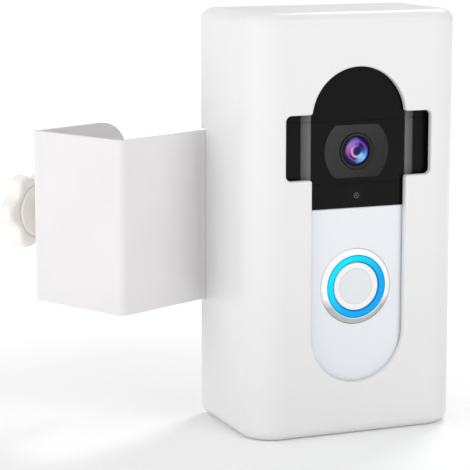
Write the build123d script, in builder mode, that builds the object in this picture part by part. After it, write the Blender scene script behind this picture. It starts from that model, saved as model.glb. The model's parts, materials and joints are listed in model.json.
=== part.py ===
from build123d import *
import math
import os

os.makedirs("parts", exist_ok=True)

# ---------------------------------------------------------------- driving dimensions, millimetres
# Frame: X to the right, Y to the back, Z up, origin at the middle of the housing's underside.

# white anti-theft housing
BOX_W, BOX_D, BOX_H = 86.5, 52.0, 160.0
BOX_WALL = 2.4
FRONT_R, TOP_R, SOLE_R, SOFT_R = 13.0, 4.5, 4.0, 0.8
Y_FRONT, Y_REAR = -BOX_D / 2, BOX_D / 2

# capsule opening with an ear each side at camera height
OPEN_W, OPEN_Z0, OPEN_Z1 = 38.4, 20.3, 139.8
EAR_W, EAR_H, EAR_Z, EAR_R = 59.4, 24.2, 110.4, 2.2
OPEN_ZC, OPEN_H = (OPEN_Z0 + OPEN_Z1) / 2, OPEN_Z1 - OPEN_Z0
CORNER_R = 1.0
GASKET_LIP, GASKET_EAR_LIP, GASKET_INSET = 1.2, 0.5, 1.0

# service holes in the housing's underside
LOCK_SPOTS = ((-25.0, 13.5), (25.0, 13.5))
LOCK_HOLE_R, LOCK_SINK_R, LOCK_SINK = 1.7, 3.2, 1.8
VENT_XS, VENT_Y, VENT_L, VENT_W = (-10.0, -5.0, 0.0, 5.0, 10.0), -8.0, 14.0, 2.0

# doorbell body
BELL_W, BELL_H, BELL_R = 62.0, 126.5, 12.0
BELL_ZC, BELL_EDGE_R, BELL_BACK_R, PLATE_EDGE_R = OPEN_ZC, 0.8, 1.5, 0.6
BELL_Z0 = BELL_ZC - BELL_H / 2
Y_FACE = -23.2
FACE_T, SKIN_T = 2.0, 2.0
Y_SKIN = Y_FACE + FACE_T
Y_INNER = Y_SKIN + SKIN_T
Y_SPLIT, Y_BELL = -4.0, 3.5
SEAM_Z, SEAM_GAP = 87.0, 0.2
WALL, SEAL_T, SEAL_INSET = 2.0, 0.5, 0.3
SHELL_BOLTS = ((-26.6, 31.0), (26.6, 31.0), (-26.6, 129.0), (26.6, 129.0))
BOSS_R, PILOT_R, PILOT_L = 3.0, 1.25, 10.0
SOUND_XS, SOUND_Y, SOUND_L, SOUND_W = (-8.0, -4.0, 0.0, 4.0, 8.0), -15.0, 6.0, 1.4
LATCH_Y = -6.2

# camera
CAM_Z = 108.1
WINDOW_R, WINDOW_H = 13.2, 19.9
TRIM_R, GLASS_R = 7.0, 5.1
BAND_Z0, BAND_Z1 = 96.2, 119.6
GROOVE, GROOVE_DEPTH = 0.5, 0.35
BEVEL = ((17.8, 0.0), (19.6, 0.3), (23.4, 1.3), (BELL_W, 1.6))
WINDOW_T, WINDOW_GAP = 1.0, 0.05
EYE_Z, EYE_W, EYE_H, EYE_CORNER, EYE_T, EYE_R, EYE_RISE, STALK_R = 91.4, 7.0, 6.4, 0.8, 0.8, 1.3, 0.15, 0.9
LED_X, LED_R, LED_L, LED_FLANGE_R, LED_FLANGE_T = 10.0, 1.5, 2.6, 2.1, 0.6
TRIM_T, TRIM_SOFT, GLASS_LIP, BARREL_IN, BARREL_LIP = 2.5, 0.35, 0.6, 4.3, 0.9
GLASS_T, GLASS_SOFT = 1.5, 1.2
INNER_LENS_Y, INNER_LENS_T, INNER_LENS_SOFT = -17.0, 2.2, 0.9
SENSOR_Y, SENSOR_W, SENSOR_T = -11.0, 5.6, 1.0
CAM_BOARD_Y, CAM_BOARD_W, CAM_BOARD_H, CAM_BOARD_R, CAM_BOARD_T = -9.8, 24.0, 22.0, 1.5, 1.2

# push button and light ring
BTN_Z = 56.8
BEZEL_R, RING_R, RING_IN, CAP_R = 14.5, 12.0, 9.3, 8.95
BEZEL_GAP, BEZEL_RISE, BEZEL_MID_R, BEZEL_MID_RISE = 0.05, 1.1, 13.5, 0.8
RING_RISE, RING_SOFT, LIGHT_SLOT_R0, LIGHT_SLOT_R1, LIGHT_SLOT_L = 0.8, 0.5, 10.0, 11.3, 1.0
RING_BOARD_R, RING_BOARD_IN, RING_BOARD_T = 15.0, 9.6, 1.2
LED_PITCH_R, LED_COUNT, LED_W, LED_H, LED_T = 10.65, 12, 0.9, 1.5, 0.7
CAP_RISE, CAP_SOFT, DISH_R, DISH_DEPTH = 0.7, 0.5, 6.9, 0.35
CAP_BACK, FLANGE_R, FLANGE_T, STEM_R, STEM_L = 1.5, 10.6, 1.0, 2.0, 0.8
SWITCH_W, SWITCH_CORNER, SWITCH_T, PLUNGER_R, PLUNGER_L = 6.0, 0.5, 2.0, 1.7, 1.5

# mounting stack behind the doorbell
Y_WALLPLATE = Y_BELL + 2.0
PLATE_Y0, PLATE_Y1, PLATE_R = 18.0, 21.0, 2.0
PLATE_GAP_X, PLATE_GAP_Z = 0.3, 0.2
BOLT_X, BOLT_Z = 18.0, (35.0, 125.0)
POST_R, POST_HOLE_R, POST_HOLE_L = 5.0, 1.5, 10.0
RIB_ZS, RIB_W, RIB_T, RIB_H = (46.0, 80.0, 114.0), 60.0, 2.0, 4.0
LUG_Z, LUG_W, LUG_H, LUG_L, LUG_HOLE_R, LUG_HOLE_L = 6.6, 12.0, 6.8, 9.0, 1.4, 6.0
WALLPLATE_W, WALLPLATE_H, WALLPLATE_R, WALLPLATE_T = 54.0, 118.0, 9.0, 2.0
WALLPLATE_HOLE = (26.0, 60.0, 3.0)
CABLE_SLOT, CABLE_ZS = (18.0, 7.0, 1.5), (25.5, 128.0)
TONGUE_W, TONGUE_T, TONGUE_L, TONGUE_DROP = 24.0, 2.0, 15.5, 1.4
WEB_H, WEB_T, WEB_LIFT = 7.2, 1.8, 1.2
BOLT_R, BOLT_CLEAR_R, BOLT_HEAD_R, BOLT_HEAD_T, BOLT_L, BOLT_SINK_R = 1.45, 1.7, 2.8, 1.6, 10.0, 3.2

# folded steel door clamp
SHEET = 2.0
FLAP_Y, NOTCH_GAP = PLATE_Y1, 0.4
CLAMP_Z0, CLAMP_H = 46.9, 66.0
BEND_X, TURN = -44.9, 26.0
ARM_A, ARM_B, ARM_C = 43.8, 48.4, 50.0
FLAP_BEND_OUT, FLAP_BEND_IN = 4.0, 2.0
BEND_OUT, BEND_IN = 2.5, 0.5
TIP_R, FLAP_R = 14.0, 4.0
FLAP_X = 30.0
FLAP_BOLTS = ((-22.0, 58.0), (22.0, 58.0), (-22.0, 101.0), (22.0, 101.0))
M4_R, M4_CLEAR_R, M4_L, M4_HEAD_R, M4_HEAD_T, M4_SOFT = 2.0, 2.15, 9.2, 3.8, 2.2, 0.9
M4_SOCKET_R, M4_SOCKET_L, M4_NUT_AF, M4_NUT_R, M4_NUT_T = 1.45, 1.3, 7.0, 2.03, 3.2
PAD_W, PAD_H, PAD_R, FRONT_PAD_T, SIDE_PAD_T, PAD_SHIFT = 34.0, 56.0, 3.0, 1.5, 1.2, 0.5

# clamp screw, swivel foot and star knob, distances K measured outward from the back plate of the clamp
SCREW_ALONG, SCREW_Z = 22.8, 77.0
SCREW_R, NUT_BORE = 2.95, 3.0
NUT_AF, NUT_T, ARM_HOLE_R = 10.0, 5.0, 3.4
TIP_K, HUB_K = -16.0, 19.5
PIN_R, PIN_L, FOOT_BORE = 2.0, 3.9, 2.05
FOOT_R, FOOT_T, FOOT_GAP, FOOT_SOFT = 11.0, 3.8, 0.2, 1.2
FOOT_STEP_R, FOOT_STEP, RING_SEAT_R, RING_SEAT = 6.0, 0.8, 4.4, 1.3
FOOT_K = TIP_K - FOOT_GAP - FOOT_T
PAD_T, PAD_SEAT = 2.0, 0.6
CLIP_K, CLIP_R, CLIP_T, CLIP_MOUTH = 3.75, 3.6, 0.9, (3.0, 2.4, 1.4)
KNOB_R, KNOB_T, KNOB_SOFT, KNOB_GRIP = 16.0, 8.2, 1.6, 4.5
HUB_R, HUB_T, HUB_OVERLAP = 10.4, 0.8, 0.2
LOBES, NOTCH_AT, NOTCH_R, LOBE_SOFT = 6, 19.6, 6.4, 2.6
KNOB_CAP_R, KNOB_CAP_SINK, KNOB_CAP_T, KNOB_CAP_GAP, KNOB_CAP_SOFT = 7.9, 1.2, 1.5, 0.1, 0.6

# fasteners of the housing and the doorbell
LOCK_HEAD_R, LOCK_HEX_R, LOCK_Z, LOCK_HEX_T, LOCK_HEAD_T = 2.9, 1.2, 0.4, 1.0, 0.4
LOCK_R, LOCK_L = 1.35, 6.6
SHELL_SINK, SHELL_SINK_R, SHELL_CLEAR_R = 1.6, 2.4, 1.4
SHELL_R, SHELL_L, SHELL_HEAD_R, SHELL_HEAD_T, CROSS_L, CROSS_W, CROSS_T = 1.2, 11.0, 2.2, 0.5, 2.2, 0.5, 0.9
SECURE_HEAD_R, SECURE_HEX_R, SECURE_HEAD_T, SECURE_R, SECURE_L = 2.6, 1.1, 1.8, 1.25, 6.0
SECURE_DROP, LATCH_HOLE_R, TONGUE_HOLE_R, TONGUE_HOLE_L = 2.4, 1.3, 1.5, 3.0

# electronics: a depth, then a place (x, z), then sizes
BOARD_Y, BOARD_Z, BOARD_W, BOARD_H, BOARD_R, BOARD_T = -9.9, 66.0, 50.0, 56.0, 2.0, 1.6
CHIP_Y = BOARD_Y - BOARD_T
SHIELD_AT, SHIELD_W, SHIELD_H, SHIELD_R, SHIELD_T = (14.5, 82.0), 16.0, 14.0, 0.6, 2.0
MIC_AT, MIC_W, MIC_H, MIC_T = (-20.0, 42.5), 3.8, 3.0, 1.2
PIR_XS, PIR_Z, PIR_R, PIR_T, PIR_SOFT = (-16.0, -4.0), 85.0, 3.1, 3.6, 0.4
ANTENNA_AT, ANTENNA_W, ANTENNA_H, ANTENNA_T = (19.0, 56.0), 5.0, 22.0, 0.4
MEANDER_X, MEANDER_STEP, MEANDER_W, MEANDER_H = 1.2, 8.0, 3.2, 2.0
SPEAKER_Y, SPEAKER_Z, SPEAKER_R, SPEAKER_T, SPEAKER_SOFT = -12.5, 29.0, 8.5, 4.5, 0.6
MAGNET_Y, MAGNET_R, MAGNET_T = -11.0, 5.5, 1.5
CELL_Y, CELL_Z, CELL_W, CELL_H, CELL_R, CELL_T, CELL_SOFT = 0.5, 72.0, 38.0, 66.0, 3.0, 9.0, 1.5
FOAM_ZS, FOAM_W, FOAM_H, FOAM_R, FOAM_T = (56.0, 88.0), 30.0, 18.0, 2.0, 1.0
PORT_Z, PORT_W, PORT_H, PORT_R, PORT_L, PORT_SINK = 24.0, 9.0, 3.4, 1.2, 6.0, 0.3
PORT_IN_W, PORT_IN_H, PORT_IN_R, PORT_IN_L, PORT_GAP = 8.2, 2.6, 1.0, 5.0, 0.2
PLUG_Z, PLUG_W, PLUG_H, PLUG_R, PLUG_T = 24.9, 11.4, 5.4, 1.5, 1.2
PLUG_IN_W, PLUG_IN_H, PLUG_IN_R, PLUG_IN_L = 7.8, 2.2, 0.9, 3.5
WIRE_X, WIRE_Z, WIRE_R, WIRE_SLOT_L, WIRE_SLOT_W, WIRE_T = 4.5, 128.0, 2.5, 4.0, 0.6, 0.8

# ---------------------------------------------------------------- directions of the clamp
turn = math.radians(TURN)
along = Vector(math.cos(turn), math.sin(turn), 0)
out = Vector(-math.sin(turn), math.cos(turn), 0)
p0 = Vector(FLAP_X, FLAP_Y, 0)
p1 = Vector(BEND_X, FLAP_Y, 0)
p2 = p1 - along * ARM_A
p3 = p2 + out * ARM_B
p4 = p3 + along * ARM_C


def facing(y):
    """Sketch plane at depth y: local x is X, local y is Z, extrusion runs to the front."""
    return Plane.XZ.offset(-y)


def on_screw(k):
    """Sketch plane across the clamp screw, k millimetres outside the clamp's back arm."""
    return Plane(origin=p3 + along * SCREW_ALONG + Vector(0, 0, SCREW_Z) + out * k, x_dir=-along, z_dir=out)


def save(builder, label):
    """Name a finished piece and write its file."""
    builder.part.label = label
    export_step(builder.part, f"parts/{label}.step")


def opening(grow):
    """Outline of the opening, grown outward by the given amount, in the sketch being drawn."""
    with Locations((0, OPEN_ZC)):
        SlotOverall(OPEN_H + 2 * grow, OPEN_W + 2 * grow, rotation=90)
    with Locations((0, EAR_Z)):
        RectangleRounded(EAR_W + 2 * grow, EAR_H + 2 * grow, EAR_R + grow)


def ear_corners(sketch):
    """The inside corners where the ears meet the straight sides."""
    return sketch.vertices().filter_by(lambda v: abs(abs(v.X) - OPEN_W / 2) < CORNER_R)


def in_front_of_face(sink):
    """Everything in front of the doorbell's face, which is flat in the middle with a bevel each side."""
    half = [(x, Y_FACE + sink + drop) for x, drop in BEVEL]
    rest = [(BELL_W, Y_FRONT - 5), (-BELL_W, Y_FRONT - 5)]
    Polyline(*half, *rest, *[(-x, y) for x, y in half[::-1]], close=True)


# ---------------------------------------------------------------- housing
with BuildPart() as housing_cover:
    with BuildSketch(Plane.XY):
        Rectangle(BOX_W, BOX_D)
    extrude(amount=BOX_H)
    uprights = housing_cover.edges().filter_by(Axis.Z)
    fillet(uprights.filter_by(lambda e: e.center().Y < 0), FRONT_R)
    sole = housing_cover.faces().sort_by(Axis.Z)[0].edges()
    fillet(sole.filter_by(lambda e: e.center().Y < PLATE_Y1), SOLE_R)
    fillet(housing_cover.edges().filter_by(Axis.Z).filter_by(lambda e: e.center().Y > PLATE_Y1), SOFT_R)
    fillet(housing_cover.faces().sort_by(Axis.Z)[-1].edges(), TOP_R)
    with BuildSketch(Plane.XY.offset(BOX_WALL)) as cavity:
        with Locations((0, (Y_FRONT + BOX_WALL + Y_REAR + 1) / 2)):
            Rectangle(BOX_W - 2 * BOX_WALL, BOX_D - BOX_WALL + 1)
        fillet(cavity.vertices().filter_by(lambda v: v.Y < 0), FRONT_R - BOX_WALL)
    extrude(amount=BOX_H - 2 * BOX_WALL, mode=Mode.SUBTRACT)
    with BuildSketch(facing(Y_FRONT + BOX_WALL)) as hole:
        opening(0)
        fillet(ear_corners(hole), CORNER_R)
    extrude(amount=BOX_WALL, mode=Mode.SUBTRACT)
    rim = housing_cover.edges().filter_by(lambda e: abs(e.center().Y - Y_FRONT) < 0.01)
    rim = rim.filter_by(lambda e: abs(e.center().X) < EAR_W / 2 + 0.1)
    fillet(rim.filter_by(lambda e: abs(e.center().Z - OPEN_ZC) < OPEN_H / 2 + 0.1), SOFT_R)
    with BuildSketch(Plane.YZ.offset(-BOX_W / 2 - 0.5)):
        with Locations(((FLAP_Y - NOTCH_GAP + Y_REAR + 1) / 2, CLAMP_Z0 + CLAMP_H / 2)):
            Rectangle(Y_REAR + 1 - FLAP_Y + NOTCH_GAP, CLAMP_H + 2 * NOTCH_GAP)
    extrude(amount=BOX_WALL + 1, mode=Mode.SUBTRACT)
    with BuildSketch(Plane.XY):
        with Locations(*LOCK_SPOTS):
            Circle(LOCK_HOLE_R)
    extrude(amount=BOX_WALL, mode=Mode.SUBTRACT)
    with BuildSketch(Plane.XY):
        with Locations(*LOCK_SPOTS):
            Circle(LOCK_SINK_R)
    extrude(amount=LOCK_SINK, mode=Mode.SUBTRACT)
    with BuildSketch(Plane.XY):
        with Locations(*[(x, VENT_Y) for x in VENT_XS]):
            SlotOverall(VENT_L, VENT_W, rotation=90)
    extrude(amount=BOX_WALL, mode=Mode.SUBTRACT)
save(housing_cover, "housing_cover")

with BuildPart() as opening_gasket:
    with BuildSketch(facing(Y_FACE)):
        with Locations((0, OPEN_ZC)):
            RectangleRounded(BELL_W - 2 * GASKET_INSET, BELL_H - 2 * GASKET_INSET, BELL_R - GASKET_INSET)
            SlotOverall(OPEN_H + 2 * GASKET_LIP, OPEN_W + 2 * GASKET_LIP, rotation=90, mode=Mode.SUBTRACT)
        with Locations((0, EAR_Z)):
            Rectangle(EAR_W + 2 * GASKET_EAR_LIP, EAR_H + 2 * GASKET_LIP, mode=Mode.SUBTRACT)
    extrude(amount=Y_FACE - Y_FRONT - BOX_WALL)
save(opening_gasket, "opening_gasket")

# ---------------------------------------------------------------- plate that carries the doorbell
with BuildPart() as back_plate:
    with BuildSketch(facing(PLATE_Y1)):
        with Locations((0, BOX_H / 2)):
            plate_w = BOX_W - 2 * (BOX_WALL + PLATE_GAP_X)
            RectangleRounded(plate_w, BOX_H - 2 * (BOX_WALL + PLATE_GAP_Z), PLATE_R)
    extrude(amount=PLATE_Y1 - PLATE_Y0)
    with BuildSketch(facing(PLATE_Y0)):
        for z in BOLT_Z:
            with Locations((-BOLT_X, z), (BOLT_X, z)):
                Circle(POST_R)
    extrude(amount=PLATE_Y0 - Y_WALLPLATE)
    with BuildSketch(facing(PLATE_Y0)):
        with Locations(*[(0, z) for z in RIB_ZS]):
            Rectangle(RIB_W, RIB_T)
    extrude(amount=RIB_H)
    with BuildSketch(facing(PLATE_Y0)):
        with Locations(*[(x, LUG_Z) for x, _ in LOCK_SPOTS]):
            Rectangle(LUG_W, LUG_H)
    extrude(amount=LUG_L)
    with BuildSketch(Plane.XY.offset(BOX_WALL)):
        with Locations(*LOCK_SPOTS):
            Circle(LUG_HOLE_R)
    extrude(amount=LUG_HOLE_L, mode=Mode.SUBTRACT)
    with BuildSketch(facing(PLATE_Y1)):
        with Locations(*FLAP_BOLTS):
            Circle(M4_CLEAR_R)
    extrude(amount=PLATE_Y1 - PLATE_Y0, mode=Mode.SUBTRACT)
    with BuildSketch(facing(Y_WALLPLATE + POST_HOLE_L)):
        for z in BOLT_Z:
            with Locations((-BOLT_X, z), (BOLT_X, z)):
                Circle(POST_HOLE_R)
    extrude(amount=POST_HOLE_L, mode=Mode.SUBTRACT)
save(back_plate, "back_plate")

with BuildPart() as cover_lock_screws:
    for spot in LOCK_SPOTS:
        with BuildSketch(Plane.XY.offset(LOCK_Z)):
            with Locations(spot):
                Circle(LOCK_HEAD_R)
                RegularPolygon(LOCK_HEX_R, 6, mode=Mode.SUBTRACT)
        extrude(amount=LOCK_HEX_T)
        with BuildSketch(Plane.XY.offset(LOCK_Z + LOCK_HEX_T)):
            with Locations(spot):
                Circle(LOCK_HEAD_R)
        extrude(amount=LOCK_HEAD_T)
        with BuildSketch(Plane.XY.offset(LOCK_Z + LOCK_HEX_T + LOCK_HEAD_T)):
            with Locations(spot):
                Circle(LOCK_R)
        extrude(amount=LOCK_L)
save(cover_lock_screws, "cover_lock_screws")

# ---------------------------------------------------------------- folded clamp
front_pts = [p0, p1, p2, p3, p4]


def shifted(points, t):
    """The path moved sideways by t to the inside of the fold, corners mitred."""
    legs = [(b - a).normalized() for a, b in zip(points, points[1:])]
    sides = [Vector(d.Y, -d.X, 0) for d in legs]
    result = [points[0] + sides[0] * t]
    for i in range(1, len(legs)):
        mid = (sides[i - 1] + sides[i]).normalized()
        result.append(points[i] + mid * (t / mid.dot(sides[i])))
    result.append(points[-1] + sides[-1] * t)
    return result


back_pts = shifted(front_pts, SHEET)

with BuildPart() as clamp_bracket:
    with BuildSketch(Plane.XY.offset(CLAMP_Z0)) as fold:
        with BuildLine():
            Polyline(*[(p.X, p.Y) for p in front_pts + back_pts[::-1]], close=True)
        make_face()
        bends = ((FLAP_BEND_OUT, FLAP_BEND_IN), (BEND_OUT, BEND_IN), (BEND_OUT, BEND_IN))
        for corners, radii in zip(zip(front_pts[1:], back_pts[1:]), bends):
            for corner, r in zip(corners, radii):
                fillet(fold.vertices().sort_by_distance((corner.X, corner.Y, CLAMP_Z0))[0], r)
    extrude(amount=CLAMP_H)
    tip = clamp_bracket.edges().filter_by(lambda e: abs(e.length - SHEET) < 0.01)
    fillet(tip.filter_by(lambda e: (e.center() - Vector(p4.X, p4.Y, e.center().Z)).length < 2 * SHEET), TIP_R)
    tip = clamp_bracket.edges().filter_by(lambda e: abs(e.length - SHEET) < 0.01)
    fillet(tip.filter_by(lambda e: e.center().X > FLAP_X - 1), FLAP_R)
    with BuildSketch(facing(FLAP_Y + SHEET)):
        with Locations(*FLAP_BOLTS):
            Circle(M4_CLEAR_R)
    extrude(amount=SHEET, mode=Mode.SUBTRACT)
    with BuildSketch(on_screw(-SHEET)):
        Circle(ARM_HOLE_R)
    extrude(amount=SHEET, mode=Mode.SUBTRACT)
save(clamp_bracket, "clamp_bracket")

with BuildPart() as bracket_screws:
    with BuildSketch(facing(FLAP_Y + SHEET)):
        with Locations(*FLAP_BOLTS):
            Circle(M4_R)
    extrude(amount=M4_L)
    with BuildSketch(facing(FLAP_Y + SHEET + M4_HEAD_T)):
        with Locations(*FLAP_BOLTS):
            Circle(M4_HEAD_R)
    extrude(amount=M4_HEAD_T)
    with BuildSketch(facing(FLAP_Y + SHEET + M4_HEAD_T)):
        with Locations(*FLAP_BOLTS):
            RegularPolygon(M4_SOCKET_R, 6)
    extrude(amount=M4_SOCKET_L, mode=Mode.SUBTRACT)
    rims = bracket_screws.edges().filter_by(GeomType.CIRCLE).filter_by(
        lambda e: abs(e.radius - M4_HEAD_R) < 0.01 and e.center().Y > FLAP_Y + SHEET + M4_HEAD_T / 2)
    fillet(rims, M4_SOFT)
save(bracket_screws, "bracket_screws")

with BuildPart() as bracket_nuts:
    with BuildSketch(facing(PLATE_Y0)):
        with Locations(*FLAP_BOLTS):
            RegularPolygon(M4_NUT_AF / 2, 6, major_radius=False)
            Circle(M4_NUT_R, mode=Mode.SUBTRACT)
    extrude(amount=M4_NUT_T)
save(bracket_nuts, "bracket_nuts")

arm_b_mid = (p2 + p3) * 0.5 + along * SHEET
arm_a_mid = p2 + along * (ARM_A / 2 + PAD_SHIFT) + out * SHEET

with BuildPart() as front_pad:
    pad_plane = Plane(origin=arm_a_mid + Vector(0, 0, CLAMP_Z0 + CLAMP_H / 2), x_dir=-along, z_dir=out)
    with BuildSketch(pad_plane):
        RectangleRounded(PAD_W, PAD_H, PAD_R)
    extrude(amount=FRONT_PAD_T)
save(front_pad, "front_pad")

with BuildPart() as side_pad:
    edge_plane = Plane(origin=arm_b_mid + Vector(0, 0, CLAMP_Z0 + CLAMP_H / 2), x_dir=out, z_dir=along)
    with BuildSketch(edge_plane):
        RectangleRounded(PAD_W, PAD_H, PAD_R)
    extrude(amount=SIDE_PAD_T)
save(side_pad, "side_pad")

with BuildPart() as weld_nut:
    with BuildSketch(on_screw(0)):
        RegularPolygon(NUT_AF / 2, 6, major_radius=False)
        Circle(NUT_BORE, mode=Mode.SUBTRACT)
    extrude(amount=NUT_T)
save(weld_nut, "weld_nut")

# ---------------------------------------------------------------- swivel foot
with BuildPart() as pressure_foot:
    with BuildSketch(on_screw(FOOT_K)):
        Circle(FOOT_R)
    extrude(amount=FOOT_T - FOOT_STEP)
    with BuildSketch(on_screw(FOOT_K + FOOT_T - FOOT_STEP)):
        Circle(FOOT_STEP_R)
    extrude(amount=FOOT_STEP)
    circles = pressure_foot.edges().filter_by(GeomType.CIRCLE)
    outer = circles.filter_by(lambda e: abs(e.radius - FOOT_R) < 0.01)
    fillet(outer.sort_by_distance(on_screw(0).origin)[0], FOOT_SOFT)
    with BuildSketch(on_screw(FOOT_K)):
        Circle(FOOT_BORE)
    extrude(amount=FOOT_T, mode=Mode.SUBTRACT)
    with BuildSketch(on_screw(FOOT_K)):
        Circle(RING_SEAT_R)
    extrude(amount=RING_SEAT, mode=Mode.SUBTRACT)
save(pressure_foot, "pressure_foot")

with BuildPart() as foot_pad:
    with BuildSketch(on_screw(FOOT_K - PAD_T)):
        Circle(FOOT_R)
    extrude(amount=PAD_T)
    with BuildSketch(on_screw(FOOT_K - PAD_SEAT)):
        Circle(RING_SEAT_R)
    extrude(amount=PAD_SEAT, mode=Mode.SUBTRACT)
save(foot_pad, "foot_pad")

# ---------------------------------------------------------------- clamp screw and knob
with BuildPart() as clamp_screw:
    with BuildSketch(on_screw(TIP_K)):
        Circle(SCREW_R)
    extrude(amount=HUB_K + KNOB_GRIP - TIP_K)
    with BuildSketch(on_screw(TIP_K - PIN_L)):
        Circle(PIN_R)
    extrude(amount=PIN_L)
save(clamp_screw, "clamp_screw")

with BuildPart() as retaining_ring:
    mouth_x, mouth_l, mouth_w = CLIP_MOUTH
    with BuildSketch(on_screw(TIP_K - CLIP_K)):
        Circle(CLIP_R)
        Circle(PIN_R, mode=Mode.SUBTRACT)
        with Locations((mouth_x, 0)):
            Rectangle(mouth_l, mouth_w, mode=Mode.SUBTRACT)
    extrude(amount=CLIP_T)
save(retaining_ring, "retaining_ring")

with BuildPart() as knob:
    with BuildSketch(on_screw(HUB_K + HUB_T)) as star:
        Circle(KNOB_R)
        with PolarLocations(NOTCH_AT, LOBES, start_angle=180 / LOBES):
            Circle(NOTCH_R, mode=Mode.SUBTRACT)
        fillet(star.vertices(), LOBE_SOFT)
    extrude(amount=KNOB_T)
    faces = knob.faces().sort_by(Axis(on_screw(0).origin, out))
    fillet(faces[0].edges() + faces[-1].edges(), KNOB_SOFT)
    with BuildSketch(on_screw(HUB_K)):
        Circle(HUB_R)
    extrude(amount=HUB_T + HUB_OVERLAP)
    with BuildSketch(on_screw(HUB_K + HUB_T + KNOB_T - KNOB_CAP_SINK)):
        Circle(KNOB_CAP_R + KNOB_CAP_GAP)
    extrude(amount=KNOB_CAP_SINK, mode=Mode.SUBTRACT)
    with BuildSketch(on_screw(HUB_K)):
        Circle(SCREW_R)
    extrude(amount=KNOB_GRIP, mode=Mode.SUBTRACT)
save(knob, "knob")

with BuildPart() as knob_cap:
    with BuildSketch(on_screw(HUB_K + HUB_T + KNOB_T - KNOB_CAP_SINK)):
        Circle(KNOB_CAP_R)
    extrude(amount=KNOB_CAP_T)
    fillet(knob_cap.faces().sort_by(Axis(on_screw(0).origin, out))[-1].edges(), KNOB_CAP_SOFT)
save(knob_cap, "knob_cap")

# ---------------------------------------------------------------- doorbell shells
with BuildPart() as front_housing:
    with BuildSketch(facing(Y_SPLIT)):
        with Locations((0, BELL_ZC)):
            RectangleRounded(BELL_W, BELL_H, BELL_R)
    extrude(amount=Y_SPLIT - Y_FACE)
    fillet(front_housing.faces().sort_by(Axis.Y)[0].edges(), BELL_EDGE_R)
    with BuildSketch(facing(Y_SKIN)):
        with Locations((0, (SEAM_Z + BELL_Z0 - 1) / 2)):
            Rectangle(BELL_W + 2, SEAM_Z - BELL_Z0 + 1)
    extrude(amount=FACE_T + 1, mode=Mode.SUBTRACT)
    with BuildSketch(facing(Y_SPLIT)):
        with Locations((0, BELL_ZC)):
            RectangleRounded(BELL_W - 2 * WALL, BELL_H - 2 * WALL, BELL_R - WALL)
        with Locations(*SHELL_BOLTS):
            Circle(BOSS_R, mode=Mode.SUBTRACT)
    extrude(amount=Y_SPLIT - Y_INNER, mode=Mode.SUBTRACT)
    with BuildSketch(facing(Y_SPLIT)):
        with Locations(*SHELL_BOLTS):
            Circle(PILOT_R)
    extrude(amount=PILOT_L, mode=Mode.SUBTRACT)
    with BuildSketch(facing(Y_FACE + WINDOW_T)):
        with Locations((0, CAM_Z)):
            Circle(WINDOW_R)
            Rectangle(2 * WINDOW_R, WINDOW_H, mode=Mode.INTERSECT)
    extrude(amount=WINDOW_T, mode=Mode.SUBTRACT)
    with BuildSketch(facing(Y_INNER)):
        with Locations((0, CAM_Z)):
            Circle(TRIM_R)
        with Locations((-LED_X, CAM_Z), (LED_X, CAM_Z)):
            Circle(LED_R + 0.1)
        with Locations((0, EYE_Z)):
            Circle(STALK_R + 0.1)
    extrude(amount=Y_INNER - Y_FACE, mode=Mode.SUBTRACT)
    with BuildSketch(facing(Y_FACE + EYE_T)):
        with Locations((0, EYE_Z)):
            RectangleRounded(EYE_W, EYE_H, EYE_CORNER)
    extrude(amount=EYE_T, mode=Mode.SUBTRACT)
    with BuildSketch(Plane.XY.offset(BELL_Z0 - 1)):
        with BuildLine():
            in_front_of_face(0)
        make_face()
    extrude(amount=BELL_H + 2, mode=Mode.SUBTRACT)
    for z in (BAND_Z0, BAND_Z1):
        with BuildSketch(Plane.XY.offset(z - GROOVE / 2)):
            with BuildLine():
                in_front_of_face(GROOVE_DEPTH)
            make_face()
        extrude(amount=GROOVE, mode=Mode.SUBTRACT)
    with BuildSketch(facing(Y_INNER)):
        with Locations((0, BTN_Z)):
            Circle(RING_R)
    extrude(amount=SKIN_T, mode=Mode.SUBTRACT)
    with BuildSketch(Plane.XY.offset(BELL_Z0)):
        with Locations(*[(x, SOUND_Y) for x in SOUND_XS]):
            SlotOverall(SOUND_L, SOUND_W, rotation=90)
        with Locations((0, LATCH_Y)):
            Circle(LATCH_HOLE_R)
    extrude(amount=WALL, mode=Mode.SUBTRACT)
save(front_housing, "front_housing")

with BuildPart() as faceplate:
    with BuildSketch(facing(Y_SKIN)):
        with Locations((0, BELL_ZC)):
            RectangleRounded(BELL_W, BELL_H, BELL_R)
        with Locations((0, SEAM_Z - SEAM_GAP + BELL_H / 2)):
            Rectangle(BELL_W + 2, BELL_H, mode=Mode.SUBTRACT)
    extrude(amount=FACE_T)
    fillet(faceplate.faces().sort_by(Axis.Y)[0].edges(), PLATE_EDGE_R)
    with BuildSketch(Plane.XY.offset(BELL_Z0 - 1)):
        with BuildLine():
            in_front_of_face(0)
        make_face()
    extrude(amount=BELL_H + 2, mode=Mode.SUBTRACT)
    with BuildSketch(facing(Y_SKIN)):
        with Locations((0, BTN_Z)):
            Circle(BEZEL_R)
    extrude(amount=FACE_T, mode=Mode.SUBTRACT)
save(faceplate, "faceplate")

with BuildPart() as housing_gasket:
    with BuildSketch(facing(Y_SPLIT + SEAL_T)):
        with Locations((0, BELL_ZC)):
            RectangleRounded(BELL_W - 2 * SEAL_INSET, BELL_H - 2 * SEAL_INSET, BELL_R - SEAL_INSET)
            RectangleRounded(BELL_W - 2 * WALL, BELL_H - 2 * WALL, BELL_R - WALL, mode=Mode.SUBTRACT)
    extrude(amount=SEAL_T)
save(housing_gasket, "housing_gasket")

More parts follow.
